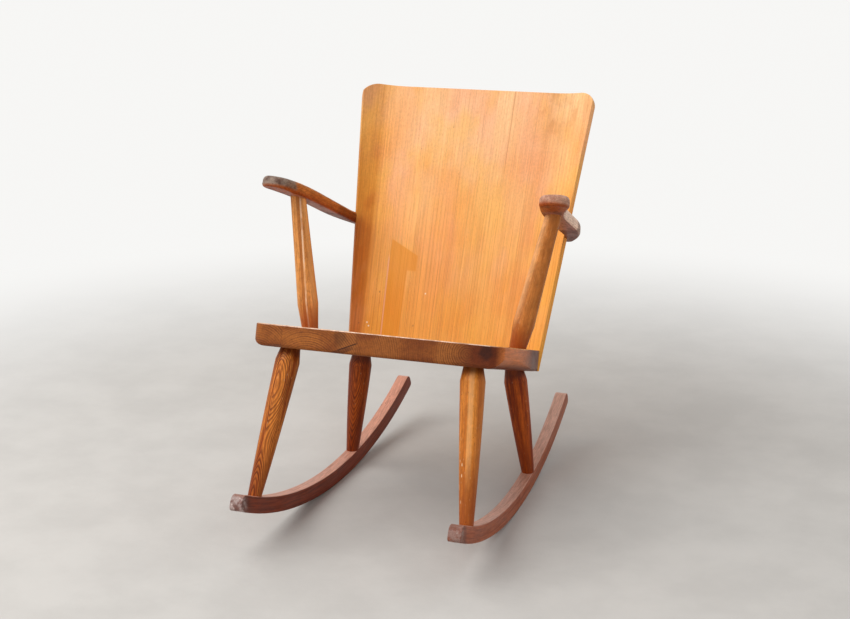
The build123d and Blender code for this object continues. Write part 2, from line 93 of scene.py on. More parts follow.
class ChairSettings(bpy.types.PropertyGroup):
    """Colours and sizes of the finishes, the lamp and the view."""

    # The panel's top colour is partly a painted sheen: paler and less saturated, as if the varnish
    # reflected light from above.
    panel_top_and_sheen: colour_property("Panel top", "Varnished pine at the panel's top", (0.92, 0.52, 0.245))
    panel_middle: colour_property(
        "Panel middle", "Varnished pine half-way up the panel", (0.90, 0.42, 0.125))
    panel_low: colour_property(
        "Panel foot", "Deeper gold varnish low on the panel", (0.88, 0.41, 0.072))
    panel_line: colour_property("Panel grain", "Darker grain lines of the panel", (0.55, 0.18, 0.03))
    seat_front: colour_property(
        "Seat edge", "Early wood on the seat's front edge and sides", (0.37, 0.115, 0.020))
    seat_line: colour_property("Seat rings", "Dark growth rings of the seat", (0.10, 0.022, 0.005))
    seat_top: colour_property(
        "Seat top", "Honey-coloured pine of the seat's top", (0.72, 0.32, 0.085))
    ring_width: FloatProperty(
        name="Ring width", description="Width of one growth ring in the turned pieces", unit="LENGTH",
        min=0.0005, max=0.01, default=0.0022)
    floor_colour: colour_property("Floor", "Colour of the floor near the chair", (0.57, 0.552, 0.528))
    lamp_power: FloatProperty(
        name="Lamp", description="Power of the large soft lamp above the chair, in watts", min=0,
        default=90.0)
    sky_light: FloatProperty(
        name="Room light", description="Strength of the even light from all round", min=0, default=0.66)
    lens: FloatProperty(
        name="Lens", description="Focal length of the camera, in millimetres", min=10, default=67.76)


class Finish:
    """One material while it is being built, with the few node patterns that the chair's woods share.

    self.colour is the colour so far, which tint and shade change step by step.
    """

    # Most of a noise lies between these values.
    NOISE_LOW = 0.32
    NOISE_HIGH = 0.68

    def __init__(self, name):
        self.material = bpy.data.materials.new(name)
        self.material.use_nodes = True
        self.tree = self.material.node_tree
        self.tree.nodes.clear()
        self.shader = self.add("ShaderNodeBsdfPrincipled")
        self.output = self.add("ShaderNodeOutputMaterial")
        self.feed(self.output.inputs["Surface"], self.shader.outputs["BSDF"])
        self.place = self.add("ShaderNodeTexCoord").outputs["Object"]
        self.colour = None

    def feed(self, socket, value):
        """Links a node's output to a socket, or sets the socket to a plain value."""
        if isinstance(value, bpy.types.NodeSocket):
            self.tree.links.new(value, socket)
        else:
            socket.default_value = value

    def add(self, kind, sockets=(), **options):
        """Adds a node with its options, and feeds each of its sockets, by name or number."""
        node = self.tree.nodes.new(kind)
        for name, value in options.items():
            setattr(node, name, value)
        for key, value in dict(sockets).items():
            self.feed(node.inputs[key], value)
        return node

    def math(self, operation, a, b=0.0, c=0.0, clamp=False):
        node = self.add("ShaderNodeMath", {0: a, 1: b, 2: c}, operation=operation, use_clamp=clamp)
        return node.outputs[0]

    def vector(self, operation, a, b=(0.0, 0.0, 0.0)):
        """The vector that an operation on vectors gives."""
        return self.add("ShaderNodeVectorMath", {0: a, 1: b}, operation=operation).outputs[0]

    def length_of(self, vector):
        return self.add("ShaderNodeVectorMath", {0: vector}, operation="LENGTH").outputs["Value"]

    def radius(self, x, y):
        """The length of the line whose sides are x and y."""
        squares = self.math("ADD", self.math("MULTIPLY", x, x), self.math("MULTIPLY", y, y))
        return self.math("SQRT", squares)

    def times(self, *factors):
        product = factors[0]
        for factor in factors[1:]:
            product = self.math("MULTIPLY", product, factor)
        return product

    def any_of(self, masks):
        """The sum of masks that don't overlap."""
        total = 0.0
        for mask in masks:
            total = self.math("ADD", total, mask)
        return total

    def span(self, value, low, high, to_low=0.0, to_high=1.0):
        """Value carried smoothly from low..high to to_low..to_high, and held at the ends."""
        sockets = {"Value": value, "From Min": low, "From Max": high, "To Min": to_low, "To Max": to_high}
        return self.add("ShaderNodeMapRange", sockets, interpolation_type="SMOOTHSTEP").outputs[0]

    def past(self, value, place, soft):
        """A mask that rises from 0 to 1 where value passes a place, over soft on each side of it."""
        return self.span(value, place - soft, place + soft)

    def before(self, value, place, soft):
        """The same mask the other way round: 1 where value is still below the place."""
        return self.span(value, place + soft, place - soft)

    def between(self, value, low, high, soft):
        """1 where value lies between low and high, falling to 0 over a distance soft outside them."""
        return self.times(self.span(value, low - soft, low), self.span(value, high + soft, high))

    def mix(self, factor, a, b, blend="MIX"):
        node = self.add("ShaderNodeMix", {0: factor, 6: a, 7: b}, data_type="RGBA", blend_type=blend)
        return node.outputs[2]

    def ramp(self, value, stops, stepped=False):
        """A colour ramp. stops are pairs of a position and a colour, or a number for a grey."""
        node = self.add("ShaderNodeValToRGB", {0: value})
        node.color_ramp.interpolation = "CONSTANT" if stepped else "LINEAR"
        elements = node.color_ramp.elements
        while len(elements) < len(stops):
            elements.new(0.5)
        for element, (position, shade) in zip(elements, stops):
            element.position = position
            element.color = rgba(shade) if hasattr(shade, "__len__") else (shade, shade, shade, 1)
        return node.outputs[0]

    def parts(self, vector):
        return self.add("ShaderNodeSeparateXYZ", {0: vector}).outputs

    def joined(self, x, y, z=0.0):
        return self.add("ShaderNodeCombineXYZ", {0: x, 1: y, 2: z}).outputs[0]

    def facing(self, direction):
        """How far the surface faces a direction: 1 straight towards it, 0 edge-on, -1 away."""
        normal = self.add("ShaderNodeNewGeometry").outputs["Normal"]
        sockets = {0: normal, 1: direction}
        return self.add("ShaderNodeVectorMath", sockets, operation="DOT_PRODUCT").outputs["Value"]

    def along(self, origin, grain, across=ACROSS):
        """Coordinates from origin with Z along the grain and X as near as can be to across."""
        z = Vector(grain).normalized()
        y = z.cross(Vector(across)).normalized()
        turn = Matrix((y.cross(z), y, z)).transposed().to_euler()
        sockets = {"Vector": self.place, "Location": origin, "Rotation": turn}
        return self.add("ShaderNodeMapping", sockets, vector_type="TEXTURE").outputs[0]

    def noise(self, vector, per_metre, detail=2.0, roughness=0.5, seed=0.0):
        """Cloudy noise from 0 to 1, with a number of clouds per metre along each of the vector's axes."""
        sockets = {"Vector": vector, "Scale": per_metre, "Location": (seed, seed, seed)}
        stretched = self.add("ShaderNodeMapping", sockets).outputs[0]
        sockets = {"Vector": stretched, "Scale": 1.0, "Detail": detail, "Roughness": roughness}
        return self.add("ShaderNodeTexNoise", sockets).outputs[0]

    def chance(self, value):
        """A number from 0 to 1 that jumps wherever the value does."""
        return self.add("ShaderNodeTexWhiteNoise", {"W": value}, noise_dimensions="1D").outputs[0]

    def specks(self, vector, per_metre, size, share, seed=0.0):
        """A mask of small scattered marks, with only a share of their places filled."""
        sockets = {"Vector": vector, "Scale": per_metre, "Location": (seed, seed, seed)}
        stretched = self.add("ShaderNodeMapping", sockets).outputs[0]
        cells = self.add("ShaderNodeTexVoronoi", {"Vector": stretched, "Scale": 1.0})
        near = self.span(cells.outputs["Distance"], size, size * 0.5)
        red = self.add("ShaderNodeSeparateColor", {0: cells.outputs["Color"]}).outputs[0]
        return self.math("MULTIPLY", near, self.math("LESS_THAN", red, share))

    def rings(self, vector, width, wander, clouds, profile=SHARP_LATE):
        """Growth rings round the vector's Z: 0 in early wood, up to 1 at each ring's dark late edge."""
        x, y, _ = self.parts(vector)
        push = self.math("MULTIPLY_ADD", self.noise(vector, clouds), wander, -wander / 2)
        turns = self.math("DIVIDE", self.math("ADD", self.radius(x, y), push), width)
        late = self.ramp(self.math("FRACT", turns), profile)
        strength = self.math("MULTIPLY_ADD", self.chance(self.math("FLOOR", turns)), 0.6, 0.4)
        return self.math("MULTIPLY", late, strength)

    def fibres(self, vector, seed=0.0):
        """Short fine streaks along the grain, from 0 to 1."""
        return self.noise(vector, (700.0, 700.0, 12.0), detail=3.0, roughness=0.65, seed=seed)

    def shaded(self, colour, value, dark, light):
        """A colour made darker and lighter by a noise: times dark at its low, times light at its high."""
        scale = self.span(value, self.NOISE_LOW, self.NOISE_HIGH, dark, light)
        node = self.add("ShaderNodeVectorMath", {0: colour, "Scale": scale}, operation="SCALE")
        return node.outputs[0]

    def shade(self, value, dark, light):
        """Makes the colour darker and lighter, as shaded does."""
        self.colour = self.shaded(self.colour, value, dark, light)

    def tint(self, mask, amount, other):
        """Carries the colour towards another by amount where the mask is 1."""
        factor = self.math("MULTIPLY", mask, amount, clamp=True)
        self.colour = self.mix(factor, self.colour, rgba(other))

    def satin(self, noise, smooth, rough):
        """A roughness that goes from smooth to rough with a noise."""
        return self.span(noise, 0.3, 0.75, smooth, rough)

    def surface(self, roughness, heights, coat=0.0, coat_roughness=0.2):
        """Finishes the shader. heights is a list of (height from 0 to 1, depth in metres)."""
        self.feed(self.shader.inputs["Base Color"], self.colour)
        self.feed(self.shader.inputs["Roughness"], roughness)
        self.shader.inputs["Specular IOR Level"].default_value = GLOSS
        self.shader.inputs["Coat Weight"].default_value = coat
        self.shader.inputs["Coat Roughness"].default_value = coat_roughness
        normal = None
        for height, depth in heights:
            sockets = {"Height": height, "Strength": 1.0, "Distance": depth}
            if normal:
                sockets["Normal"] = normal
            normal = self.add("ShaderNodeBump", sockets).outputs[0]
        self.feed(self.shader.inputs["Normal"], normal)
        return self.material


class PanelPine(Finish):
    """Honey-coloured varnished pine with a fine straight grain, for the bent back panel."""

    HEIGHT = 0.554
    FOOT_WIDTH = 0.5
    # How much wider the panel's grain spreads for each metre of height, as a share of its width.
    FANNING = 0.22
    LINE_SPACING = 0.0030
    LINE_WANDER = 0.0108

    # The boards' tones, partly a painted shade in the dark stops near the right side: places from the
    # panel's right side, 0, to its left, 1, and factors there.
    BOARD_TONES_AND_SHADE = (
        (0.06, (0.46, 0.25, 0.08)), (0.112, (0.60, 0.37, 0.14)), (0.134, (0.94, 0.82, 0.62)),
        (0.22, (0.98, 0.92, 0.94)), (0.30, (1.0, 1.0, 1.0)), (0.5, (0.96, 0.92, 0.98)),
        (0.60, (1.0, 1.0, 1.0)), (0.74, (1.0, 0.98, 0.98)), (0.79, (0.94, 0.83, 0.80)),
        (0.85, (0.98, 0.94, 0.88)), (0.94, (1.0, 0.97, 0.72)))
    DULL_CLOUD = (0.97, 0.89, 0.80)
    BRIGHT_CLOUD = (1.01, 1.05, 1.12)

    # The darker patch: its outer side, its inner side under a step and over it, the step's height, and its
    # top at the panel's middle, which slants.
    PATCH_OUTER = -0.1545
    PATCH_INNER_LOW = -0.112
    PATCH_INNER_HIGH = -0.0915
    PATCH_STEP = 0.145
    PATCH_TOP = 0.131
    PATCH_SLANT = 0.52

    # A seam that shows as a pale line: place across, half width, and top.
    SEAM = -0.1505
    SEAM_HALF = 0.001
    SEAM_TOP = 0.17
    # Long narrow streaks: place across, lowest and highest point, and strength.
    STREAKS = ((0.071, 0.40, 0.70, 0.5), (-0.185, 0.1, 0.6, 0.35), (-0.02, -0.1, 0.36, 0.3))
    STREAK_WIDTH = 0.0008
    # Spots where the varnish has chipped off: place across and height.
    CHIPS = ((-0.179, 0.015), (-0.183, 0.022), (-0.0637, 0.097))
    CHIP_WIDTH = 0.0015
    CHIP_HEIGHT = 0.002
    CHIP_SOFT = 0.0012
    # The smudge high on the chair's left: from here to there across, and from where up.
    SMUDGE_ACROSS = (0.15, 0.22)
    SMUDGE_FROM = (0.40, 0.5)

    BLUSH_COLOUR = (0.90, 0.41, 0.22)
    GOLD_COLOUR = (0.90, 0.44, 0.06)
    PATCH_COLOUR = (0.72, 0.24, 0.003)
    SEAM_COLOUR = (0.86, 0.44, 0.28)
    STREAK_COLOUR = (0.48, 0.15, 0.05)
    # A painted highlight colour for the long edge towards the lamp.
    EDGE_COLOUR = (0.95, 0.58, 0.26)
    SMUDGE_COLOUR = (0.56, 0.22, 0.06)
    DENT_COLOUR = (0.30, 0.10, 0.04)
    CHIP_COLOUR = (0.92, 0.80, 0.62)

    def __init__(self, s):
        super().__init__("panel_pine")
        self.line_colour = s.panel_line
        self.across, _, self.up = self.parts(self.along(PANEL_FOOT, PANEL_UP))
        # The grain fans out a little towards the top, as the panel does.
        widening = self.math("MULTIPLY_ADD", self.up, self.FANNING, 1.0)
        self.fanned = self.math("DIVIDE", self.across, widening)
        self.grain = self.joined(self.fanned, 0.0, self.up)
        self.board = self.joined(self.across, 0.0, self.up)
        # The paler top of this ramp is partly a painted sheen.
        stops = ((0.0, s.panel_low), (0.42, s.panel_middle), (0.98, s.panel_top_and_sheen))
        self.colour = self.ramp(self.math("DIVIDE", self.up, self.HEIGHT), stops)

    def add_boards(self):
        """The boards' tones: bands from side to side, darker near the right side partly as a painted shade,
        and soft areas of blush and of gold.
        """
        place = self.math("MULTIPLY_ADD", self.fanned, 1 / self.FOOT_WIDTH, 0.5)
        fading = self.span(self.up, 0.28, 0.50, 1.0, 0.62)
        # The dark bands near the right side are partly a painted shade on the wing that turns away from the
        # lamp.
        self.colour = self.mix(fading, self.colour, self.ramp(place, self.BOARD_TONES_AND_SHADE), "MULTIPLY")
        self.shade(self.noise(self.grain, (26.0, 1.0, 1.5), detail=1.0, seed=3.1), 0.965, 1.03)
        blush = self.noise(self.board, (12.0, 1.0, 5.0), detail=4.0, seed=6.4)
        higher = self.span(self.up, 0.12, 0.34, 0.3, 1.0)
        self.tint(self.times(self.span(blush, 0.5, 0.66), higher), 0.5, self.BLUSH_COLOUR)
        gold = self.noise(self.grain, (13.0, 1.0, 6.0), detail=4.0, seed=11.5)
        self.tint(self.span(gold, 0.48, 0.66), 0.40, self.GOLD_COLOUR)

    def lines(self):
        """Thin darker lines along the grain, unevenly dark, from 0 to 1."""
        drift = self.noise(self.grain, (16.0, 1.0, 1.6), 3.0, seed=1.7)
        place = self.math("ADD", self.fanned, self.math("MULTIPLY", drift, self.LINE_WANDER))
        turns = self.math("DIVIDE", place, self.LINE_SPACING)
        line = self.ramp(self.math("FRACT", turns), SHARP_LATE)
        return self.times(line, self.span(self.chance(self.math("FLOOR", turns)), 0.1, 1.0))

    def add_grain(self):
        """The lines, the fibres and the pores, with soft clouds, and a mottle that grows with height."""
        strong_low = self.span(self.up, 0.40, 0.10, 0.26, 1.0)
        self.tint(self.times(self.lines(), strong_low), 0.85, self.line_colour)
        self.shade(self.noise(self.grain, (300.0, 1.0, 3.0), 3.0, 0.65, seed=2.0), 0.90, 1.06)
        self.fine = self.noise(self.grain, (620.0, 1.0, 16.0), 3.0, 0.65, seed=9.0)
        self.shade(self.fine, 0.89, 1.06)
        clouds = self.span(self.noise(self.board, (9.0, 1.0, 6.0), 3.0, 0.55, seed=21.0), 0.34, 0.62)
        cloudy = self.mix(clouds, rgba(self.DULL_CLOUD), rgba(self.BRIGHT_CLOUD))
        self.colour = self.mix(1.0, self.colour, cloudy, "MULTIPLY")
        mottle = self.noise(self.board, (240.0, 1.0, 150.0), 3.0, 0.75, seed=4.0)
        mottled = self.shaded(self.colour, mottle, 0.91, 1.07)
        self.colour = self.mix(self.span(self.up, 0.15, 0.42, 0.35, 1.0), self.colour, mottled)
        pores = self.specks(self.board, (330.0, 1.0, 90.0), 0.3, 0.13, 3.0)
        self.tint(pores, 0.35, self.line_colour)

    def patch(self):
        """The darker patch low on the chair's right, on the front only: a slanting top and two widths."""
        upper = self.times(self.before(self.across, self.PATCH_INNER_HIGH, 0.001),
                           self.past(self.up, self.PATCH_STEP, 0.002))
        lower = self.times(self.before(self.across, self.PATCH_INNER_LOW, 0.001),
                           self.before(self.up, self.PATCH_STEP, 0.002))
        slanted = self.math("MULTIPLY_ADD", self.across, self.PATCH_SLANT, self.up)
        on_front = self.span(self.facing(BACK_NORMAL), 0.0, -0.3)
        return self.times(self.any_of((upper, lower)), self.past(self.across, self.PATCH_OUTER, 0.001),
                          self.before(slanted, self.PATCH_TOP, 0.0015), on_front)

    def add_marks(self):
        """The patch, a seam, streaks, a painted highlight on one edge, a smudge, dents and chips."""
        self.tint(self.patch(), 0.6, self.PATCH_COLOUR)
        half = self.SEAM_HALF
        seam = self.between(self.fanned, self.SEAM - half, self.SEAM + half, half)
        self.tint(self.times(seam, self.before(self.up, self.SEAM_TOP, 0.01)), 0.6, self.SEAM_COLOUR)
        for place, low, high, strength in self.STREAKS:
            width = self.STREAK_WIDTH
            streak = self.times(self.between(self.fanned, place, place + width, width),
                                self.between(self.up, low, high, 0.04))
            self.tint(streak, strength, self.STREAK_COLOUR)
        # A painted highlight: the long edge on the chair's right, which faces the lamp, is paler than the
        # faces.
        edge = self.span(self.math("ABSOLUTE", self.facing(ACROSS)), 0.80, 0.95)
        self.tint(self.times(edge, self.span(self.across, 0.1, -0.1)), 0.7, self.EDGE_COLOUR)
        smudge = self.times(self.noise(self.board, (38.0, 1.0, 24.0), 5.0, seed=8.4),
                            self.between(self.across, *self.SMUDGE_ACROSS, 0.03),
                            self.span(self.up, *self.SMUDGE_FROM))
        self.tint(self.span(smudge, 0.42, 0.62), 0.45, self.SMUDGE_COLOUR)
        self.tint(self.specks(self.board, (60.0, 1.0, 36.0), 0.11, 0.13), 0.6, self.DENT_COLOUR)
        for x, z in self.CHIPS:
            chip = self.times(self.between(self.across, x, x + self.CHIP_WIDTH, self.CHIP_SOFT),
                              self.between(self.up, z, z + self.CHIP_HEIGHT, self.CHIP_SOFT))
            self.tint(chip, 0.9, self.CHIP_COLOUR)

    def varnish(self):
        """Varnish over fibres that stand a little proud, and over slow waves in the board."""
        rough = self.satin(self.noise(self.board, (25.0, 1.0, 10.0), 4.0), 0.30, 0.46)
        waves = self.noise(self.board, (12.0, 1.0, 4.0))
        dress("back_panel", self.surface(rough, [(self.fine, 0.00005), (waves, 0.0008)], **VARNISH))


class CHAIR_OT_back_panel(bpy.types.Operator):
    """Finish the bent back panel in honey-coloured varnished pine with a fine straight grain"""

    bl_idname = "chair.back_panel"
    bl_label = "Back panel"

    def execute(self, context):
        pine = PanelPine(settings())
        pine.add_boards()
        pine.add_grain()
        pine.add_marks()
        pine.varnish()
        return {"FINISHED"}


def ends_of(node):
    """The middle of a turned piece's two ends, taken from its vertices' lowest and highest slices."""
    points = [v.co for v in frame["nodes"][node].data.vertices]
    low = min(p.z for p in points)
    high = max(p.z for p in points)
    slice_height = 0.004
    foot = [p for p in points if p.z < low + slice_height]
    head = [p for p in points if p.z > high - slice_height]
    return sum(foot, Vector()) / len(foot), sum(head, Vector()) / len(head)


class TurnedPine(Finish):
    """Varnished pine for a turned piece. The rings' centre runs beside the piece, and may bend along it."""

    FLECK_COLOUR = (0.92, 0.62, 0.34)
    PORE_COLOUR = (0.13, 0.03, 0.008)
    PIT_COLOUR = (0.09, 0.022, 0.007)

    def __init__(self, node, light, dark, line, pith, bend, bend_at, reach, rings, seed, point=0.0,
                 ring_factor=1.0, profile=SHARP_LATE, streaks=110.0, flecks=0.12, pores=0.12):
        """light, dark and line are the colours of the wood and of its rings.

        pith is the place of the rings' centre beside the piece's foot. It wanders off by bend, from the
        height bend_at, over the length reach. point is how sharp the tips of the rings are on the face.
        rings is how dark the rings are, ring_factor how wide, and profile how each one darkens. streaks is
        the number of streaks per metre round the piece, and flecks and pores are the shares of their
        places that hold a pale fleck or a dark pore. seed picks the piece's own pattern.
        """
        super().__init__(node + "_pine")
        self.node = node
        self.ring_strength = rings
        foot, head = ends_of(node)
        self.length = (head - foot).length
        self.straight = self.along(foot, head - foot)
        self.x, y, self.z = self.parts(self.straight)
        turn = self.math("MULTIPLY", self.math("SUBTRACT", self.z, bend_at), pi / reach)
        half = bend / 2
        shift = self.math("MULTIPLY_ADD", self.math("COSINE", turn), -half, pith[1] + half)
        aside = self.math("SUBTRACT", self.x, pith[0])
        pointed = self.math("MULTIPLY_ADD", self.math("ABSOLUTE", aside), point, y)
        about_pith = self.joined(aside, self.math("SUBTRACT", pointed, shift), self.z)
        width = settings().ring_width * ring_factor
        self.late = self.rings(about_pith, width, 0.0014, (16.0, 16.0, 6.0), profile)

        around = self.noise(self.straight, (streaks, streaks, 3.0), 3.0, 0.6, seed)
        self.colour = self.mix(self.span(around, 0.38, 0.64), rgba(dark), rgba(light))
        self.tint(self.late, rings, line)
        self.fine = self.fibres(self.straight, seed)
        self.shade(self.fine, 0.78, 1.13)
        self.shade(self.noise(self.straight, (180.0, 180.0, 70.0), 3.0, 0.7, seed), 0.82, 1.12)
        pale = self.specks(self.straight, (300.0, 300.0, 80.0), 0.25, flecks, seed)
        self.tint(pale, 0.25, self.FLECK_COLOUR)
        deep = self.specks(self.straight, (420.0, 420.0, 130.0), 0.3, pores, seed + 1.0)
        self.tint(deep, 0.55, self.PORE_COLOUR)
        pits = self.specks(self.straight, (95.0, 95.0, 60.0), 0.14, 0.12, seed + 2.0)
        self.tint(pits, 0.75, self.PIT_COLOUR)

    def side(self, direction, low, high):
        """A mask that rises from 0 to 1 as the surface turns towards a direction."""
        return self.span(self.facing(direction), low, high)

    def varnish(self):
        """Satin varnish, with rings and fibres that stand a little proud."""
        cloud = self.noise(self.straight, (60.0, 60.0, 15.0), 3.0)
        waves = self.noise(self.straight, (30.0, 30.0, 10.0))
        heights = [(self.late, 0.00006), (self.fine, 0.00006), (waves, 0.0005)]
        dress(self.node, self.surface(self.satin(cloud, 0.34, 0.52), heights, **SATIN_VARNISH))


class CHAIR_OT_legs(bpy.types.Operator):
    """Finish the four turned legs, each with its own run of grain"""

    bl_idname = "chair.legs"
    bl_label = "Legs"

    WOODS = {
        "front_leg_right": dict(
            light=(0.76, 0.250, 0.040), dark=(0.32, 0.066, 0.007), line=(0.09, 0.010, 0.002),
            pith=(-0.001, 0.056), bend=0.0165, bend_at=0.124, reach=0.112, point=0.26,
            rings=1.0, ring_factor=1.15, profile=BOLD_LATE, seed=0.3),
        "front_leg_left": dict(
            light=(0.76, 0.270, 0.042), dark=(0.52, 0.150, 0.018), line=(0.30, 0.065, 0.012),
            pith=(0.10, 0.13), bend=0.002, bend_at=0.1, reach=0.2,
            rings=0.22, seed=1.7, flecks=0.3, streaks=70.0),
        # The rear legs' colours are darker than the front legs' as a painted shade from the seat above
        # them.
        "rear_leg_right": dict(
            light=(0.50, 0.098, 0.009), dark=(0.24, 0.034, 0.003), line=(0.07, 0.008, 0.002),
            pith=(0.002, 0.052), bend=0.013, bend_at=0.03, reach=0.17, point=0.2,
            rings=0.9, profile=BOLD_LATE, seed=2.9),
        "rear_leg_left": dict(
            light=(0.53, 0.100, 0.008), dark=(0.22, 0.027, 0.002), line=(0.12, 0.013, 0.002),
            pith=(0.07, 0.11), bend=0.002, bend_at=0.1, reach=0.2, rings=0.5, seed=4.1),
    }
    # Heights above the foot where it begins to darken and where it is darkest, and depths below the head
    # where the neck does.
    FOOT_DARKENING = (0.17, 0.03)
    NECK_DARKENING = (0.047, 0.034)
    # Dark colours for the feet and the necks, partly painted shade; the rings' colour darkens the grain.
    FOOT_DARK_AND_SHADE = (0.25, 0.040, 0.006)
    FOOT_RINGS = (0.045, 0.005, 0.001)
    NECK_VARNISH_AND_SHADE = (0.10, 0.016, 0.004)

    # A red painted shade for the side away from the lamp, a painted highlight for the front's middle, and
    # the colour of real wear.
    SHADED_RED_SIDE = (0.40, 0.10, 0.018)
    PAINTED_HIGHLIGHT_MIDDLE = (0.90, 0.48, 0.20)
    WORN = (0.98, 0.70, 0.44)
    RUBBED_SIDE = (-0.85, -0.53, 0)

    def execute(self, context):
        for node, wood in self.WOODS.items():
            pine = TurnedPine(node, **wood)
            if node == "front_leg_left":
                self.shade_highlight_and_wear(pine)
            self.darken_and_shade_ends(pine)
            pine.varnish()
        return {"FINISHED"}

    def shade_highlight_and_wear(self, pine):
        """The side away from the lamp gets a red painted shade, the middle of the front a painted
        highlight, and the other side is worn in flecks.
        """
        # Painted shade on the side away from the lamp.
        pine.tint(pine.side(ACROSS, 0.45, 0.95), 0.5, self.SHADED_RED_SIDE)
        # Painted highlight down the middle of the front.
        middle = pine.times(pine.between(pine.x, 0.001, 0.006, 0.004), pine.span(pine.z, 0.06, 0.16))
        pine.tint(middle, 0.4, self.PAINTED_HIGHLIGHT_MIDDLE)
        worn = pine.specks(pine.straight, (200.0, 200.0, 70.0), 0.3, 0.45, 8.0)
        low_on_side = pine.times(pine.side(self.RUBBED_SIDE, 0.45, 0.75), pine.span(pine.z, 0.17, 0.12))
        pine.tint(pine.times(worn, low_on_side), 0.9, self.WORN)

    def darken_and_shade_ends(self, pine):
        """The feet and the necks are darker: towards the foot, partly a painted shade where the leg meets
        the rocker, and at the neck a painted shade under the seat over darker varnish.
        """
        at_foot = pine.span(pine.z, *self.FOOT_DARKENING)
        # Towards the foot, partly a painted shade where the leg meets the rocker.
        pine.tint(at_foot, 0.6, self.FOOT_DARK_AND_SHADE)
        pine.tint(pine.times(at_foot, pine.late), pine.ring_strength * 0.85, self.FOOT_RINGS)
        # At the neck, a painted shade under the seat over darker varnish.
        start, full = self.NECK_DARKENING
        pine.tint(pine.span(pine.z, pine.length - start, pine.length - full), 0.7, self.NECK_VARNISH_AND_SHADE)


class CHAIR_OT_arm_posts(bpy.types.Operator):
    """Finish the two turned arm posts"""

    bl_idname = "chair.arm_posts"
    bl_label = "Arm posts"

    WOODS = {
        "arm_post_right": dict(
            light=(0.76, 0.32, 0.085), dark=(0.50, 0.175, 0.034), line=(0.30, 0.07, 0.012),
            pith=(-0.08, 0.10), bend=0.003, bend_at=0.1, reach=0.2, rings=0.45, seed=5.3, pores=0.3),
        "arm_post_left": dict(
            light=(0.70, 0.29, 0.078), dark=(0.46, 0.155, 0.034), line=(0.34, 0.08, 0.016),
            pith=(0.10, 0.10), bend=0.003, bend_at=0.1, reach=0.2, rings=0.3, seed=6.6,
            flecks=0.45, pores=0.3),
    }
    # The way that the chair's front left corner faces.
    FRONT_LEFT = (0.6, -0.8, 0)
    # Darker varnish with a painted shade, for the foot's shoulder.
    RED_SHADED_FOOT = (0.27, 0.042, 0.006)

    # Painted light for the post's side towards the lamp, and painted shade for its side away from it.
    LIT_INNER_SIDE = (0.94, 0.52, 0.24)
    SHADED_OUTER_SIDE = (0.50, 0.15, 0.022)

    # The edges of the painted highlight stripe and of the dark stripe, from the post's middle towards the
    # chair's left, and how soft the edges are.
    HIGHLIGHT_EDGES = (0.0066, 0.0080, 0.0016)
    DARK_EDGES = (0.0005, 0.0044, 0.0022)
    # The painted highlight stripe, the dark stripe, and the painted light on the gold sides.
    HIGHLIGHT_STRIPE = (0.95, 0.66, 0.44)
    DARK_STRIPE = (0.30, 0.085, 0.014)
    LIT_GOLD_SIDE = (0.95, 0.50, 0.18)

    def execute(self, context):
        for node, wood in self.WOODS.items():
            pine = TurnedPine(node, **wood)
            if node == "arm_post_left":
                self.patchy(pine)
            else:
                self.highlight_and_stripe(pine)
            # The shoulder at the foot, on the side away from the lamp, is redder: darker varnish under a
            # painted shade.
            shaded_shoulder = pine.times(pine.span(pine.z, 0.095, 0.03), pine.side(self.FRONT_LEFT, -0.6, 0.5))
            pine.tint(shaded_shoulder, 0.75, self.RED_SHADED_FOOT)
            pine.varnish()
        return {"FINISHED"}

    def patchy(self, pine):
        """A painted light on the side towards the lamp, a painted shade on the outer side away from it, and
        patchy all round.
        """
        lit_inside = pine.times(pine.side((-0.95, -0.3, 0), 0.35, 0.95), pine.span(pine.z, 0.05, 0.12))
        # Painted light on the side towards the lamp.
        pine.tint(lit_inside, 0.5, self.LIT_INNER_SIDE)
        # Painted shade on the outer side, away from the lamp.
        pine.tint(pine.side(self.FRONT_LEFT, 0.3, 0.95), 0.5, self.SHADED_OUTER_SIDE)
        pine.shade(pine.noise(pine.straight, (85.0, 85.0, 50.0), 4.0, 0.65, 12.0), 0.84, 1.10)

    def highlight_and_stripe(self, pine):
        """A broken painted highlight stripe beside a dark one along the front, and sides lit gold by
        painted light.
        """
        broken = pine.span(pine.noise(pine.straight, (90.0, 90.0, 26.0), 4.0), 0.36, 0.58, 0.3, 1.0)
        # A broken painted highlight down the front.
        pale = pine.times(pine.between(pine.x, *self.HIGHLIGHT_EDGES), broken)
        pine.tint(pale, 0.75, self.HIGHLIGHT_STRIPE)
        pine.tint(pine.between(pine.x, *self.DARK_EDGES), 0.55, self.DARK_STRIPE)
        # Painted light in gold on both sides.
        for direction, low in (((-1, 0, 0), 0.55), ((0.97, -0.24, 0), 0.75)):
            pine.tint(pine.side(direction, low, 1.0), 0.5, self.LIT_GOLD_SIDE)


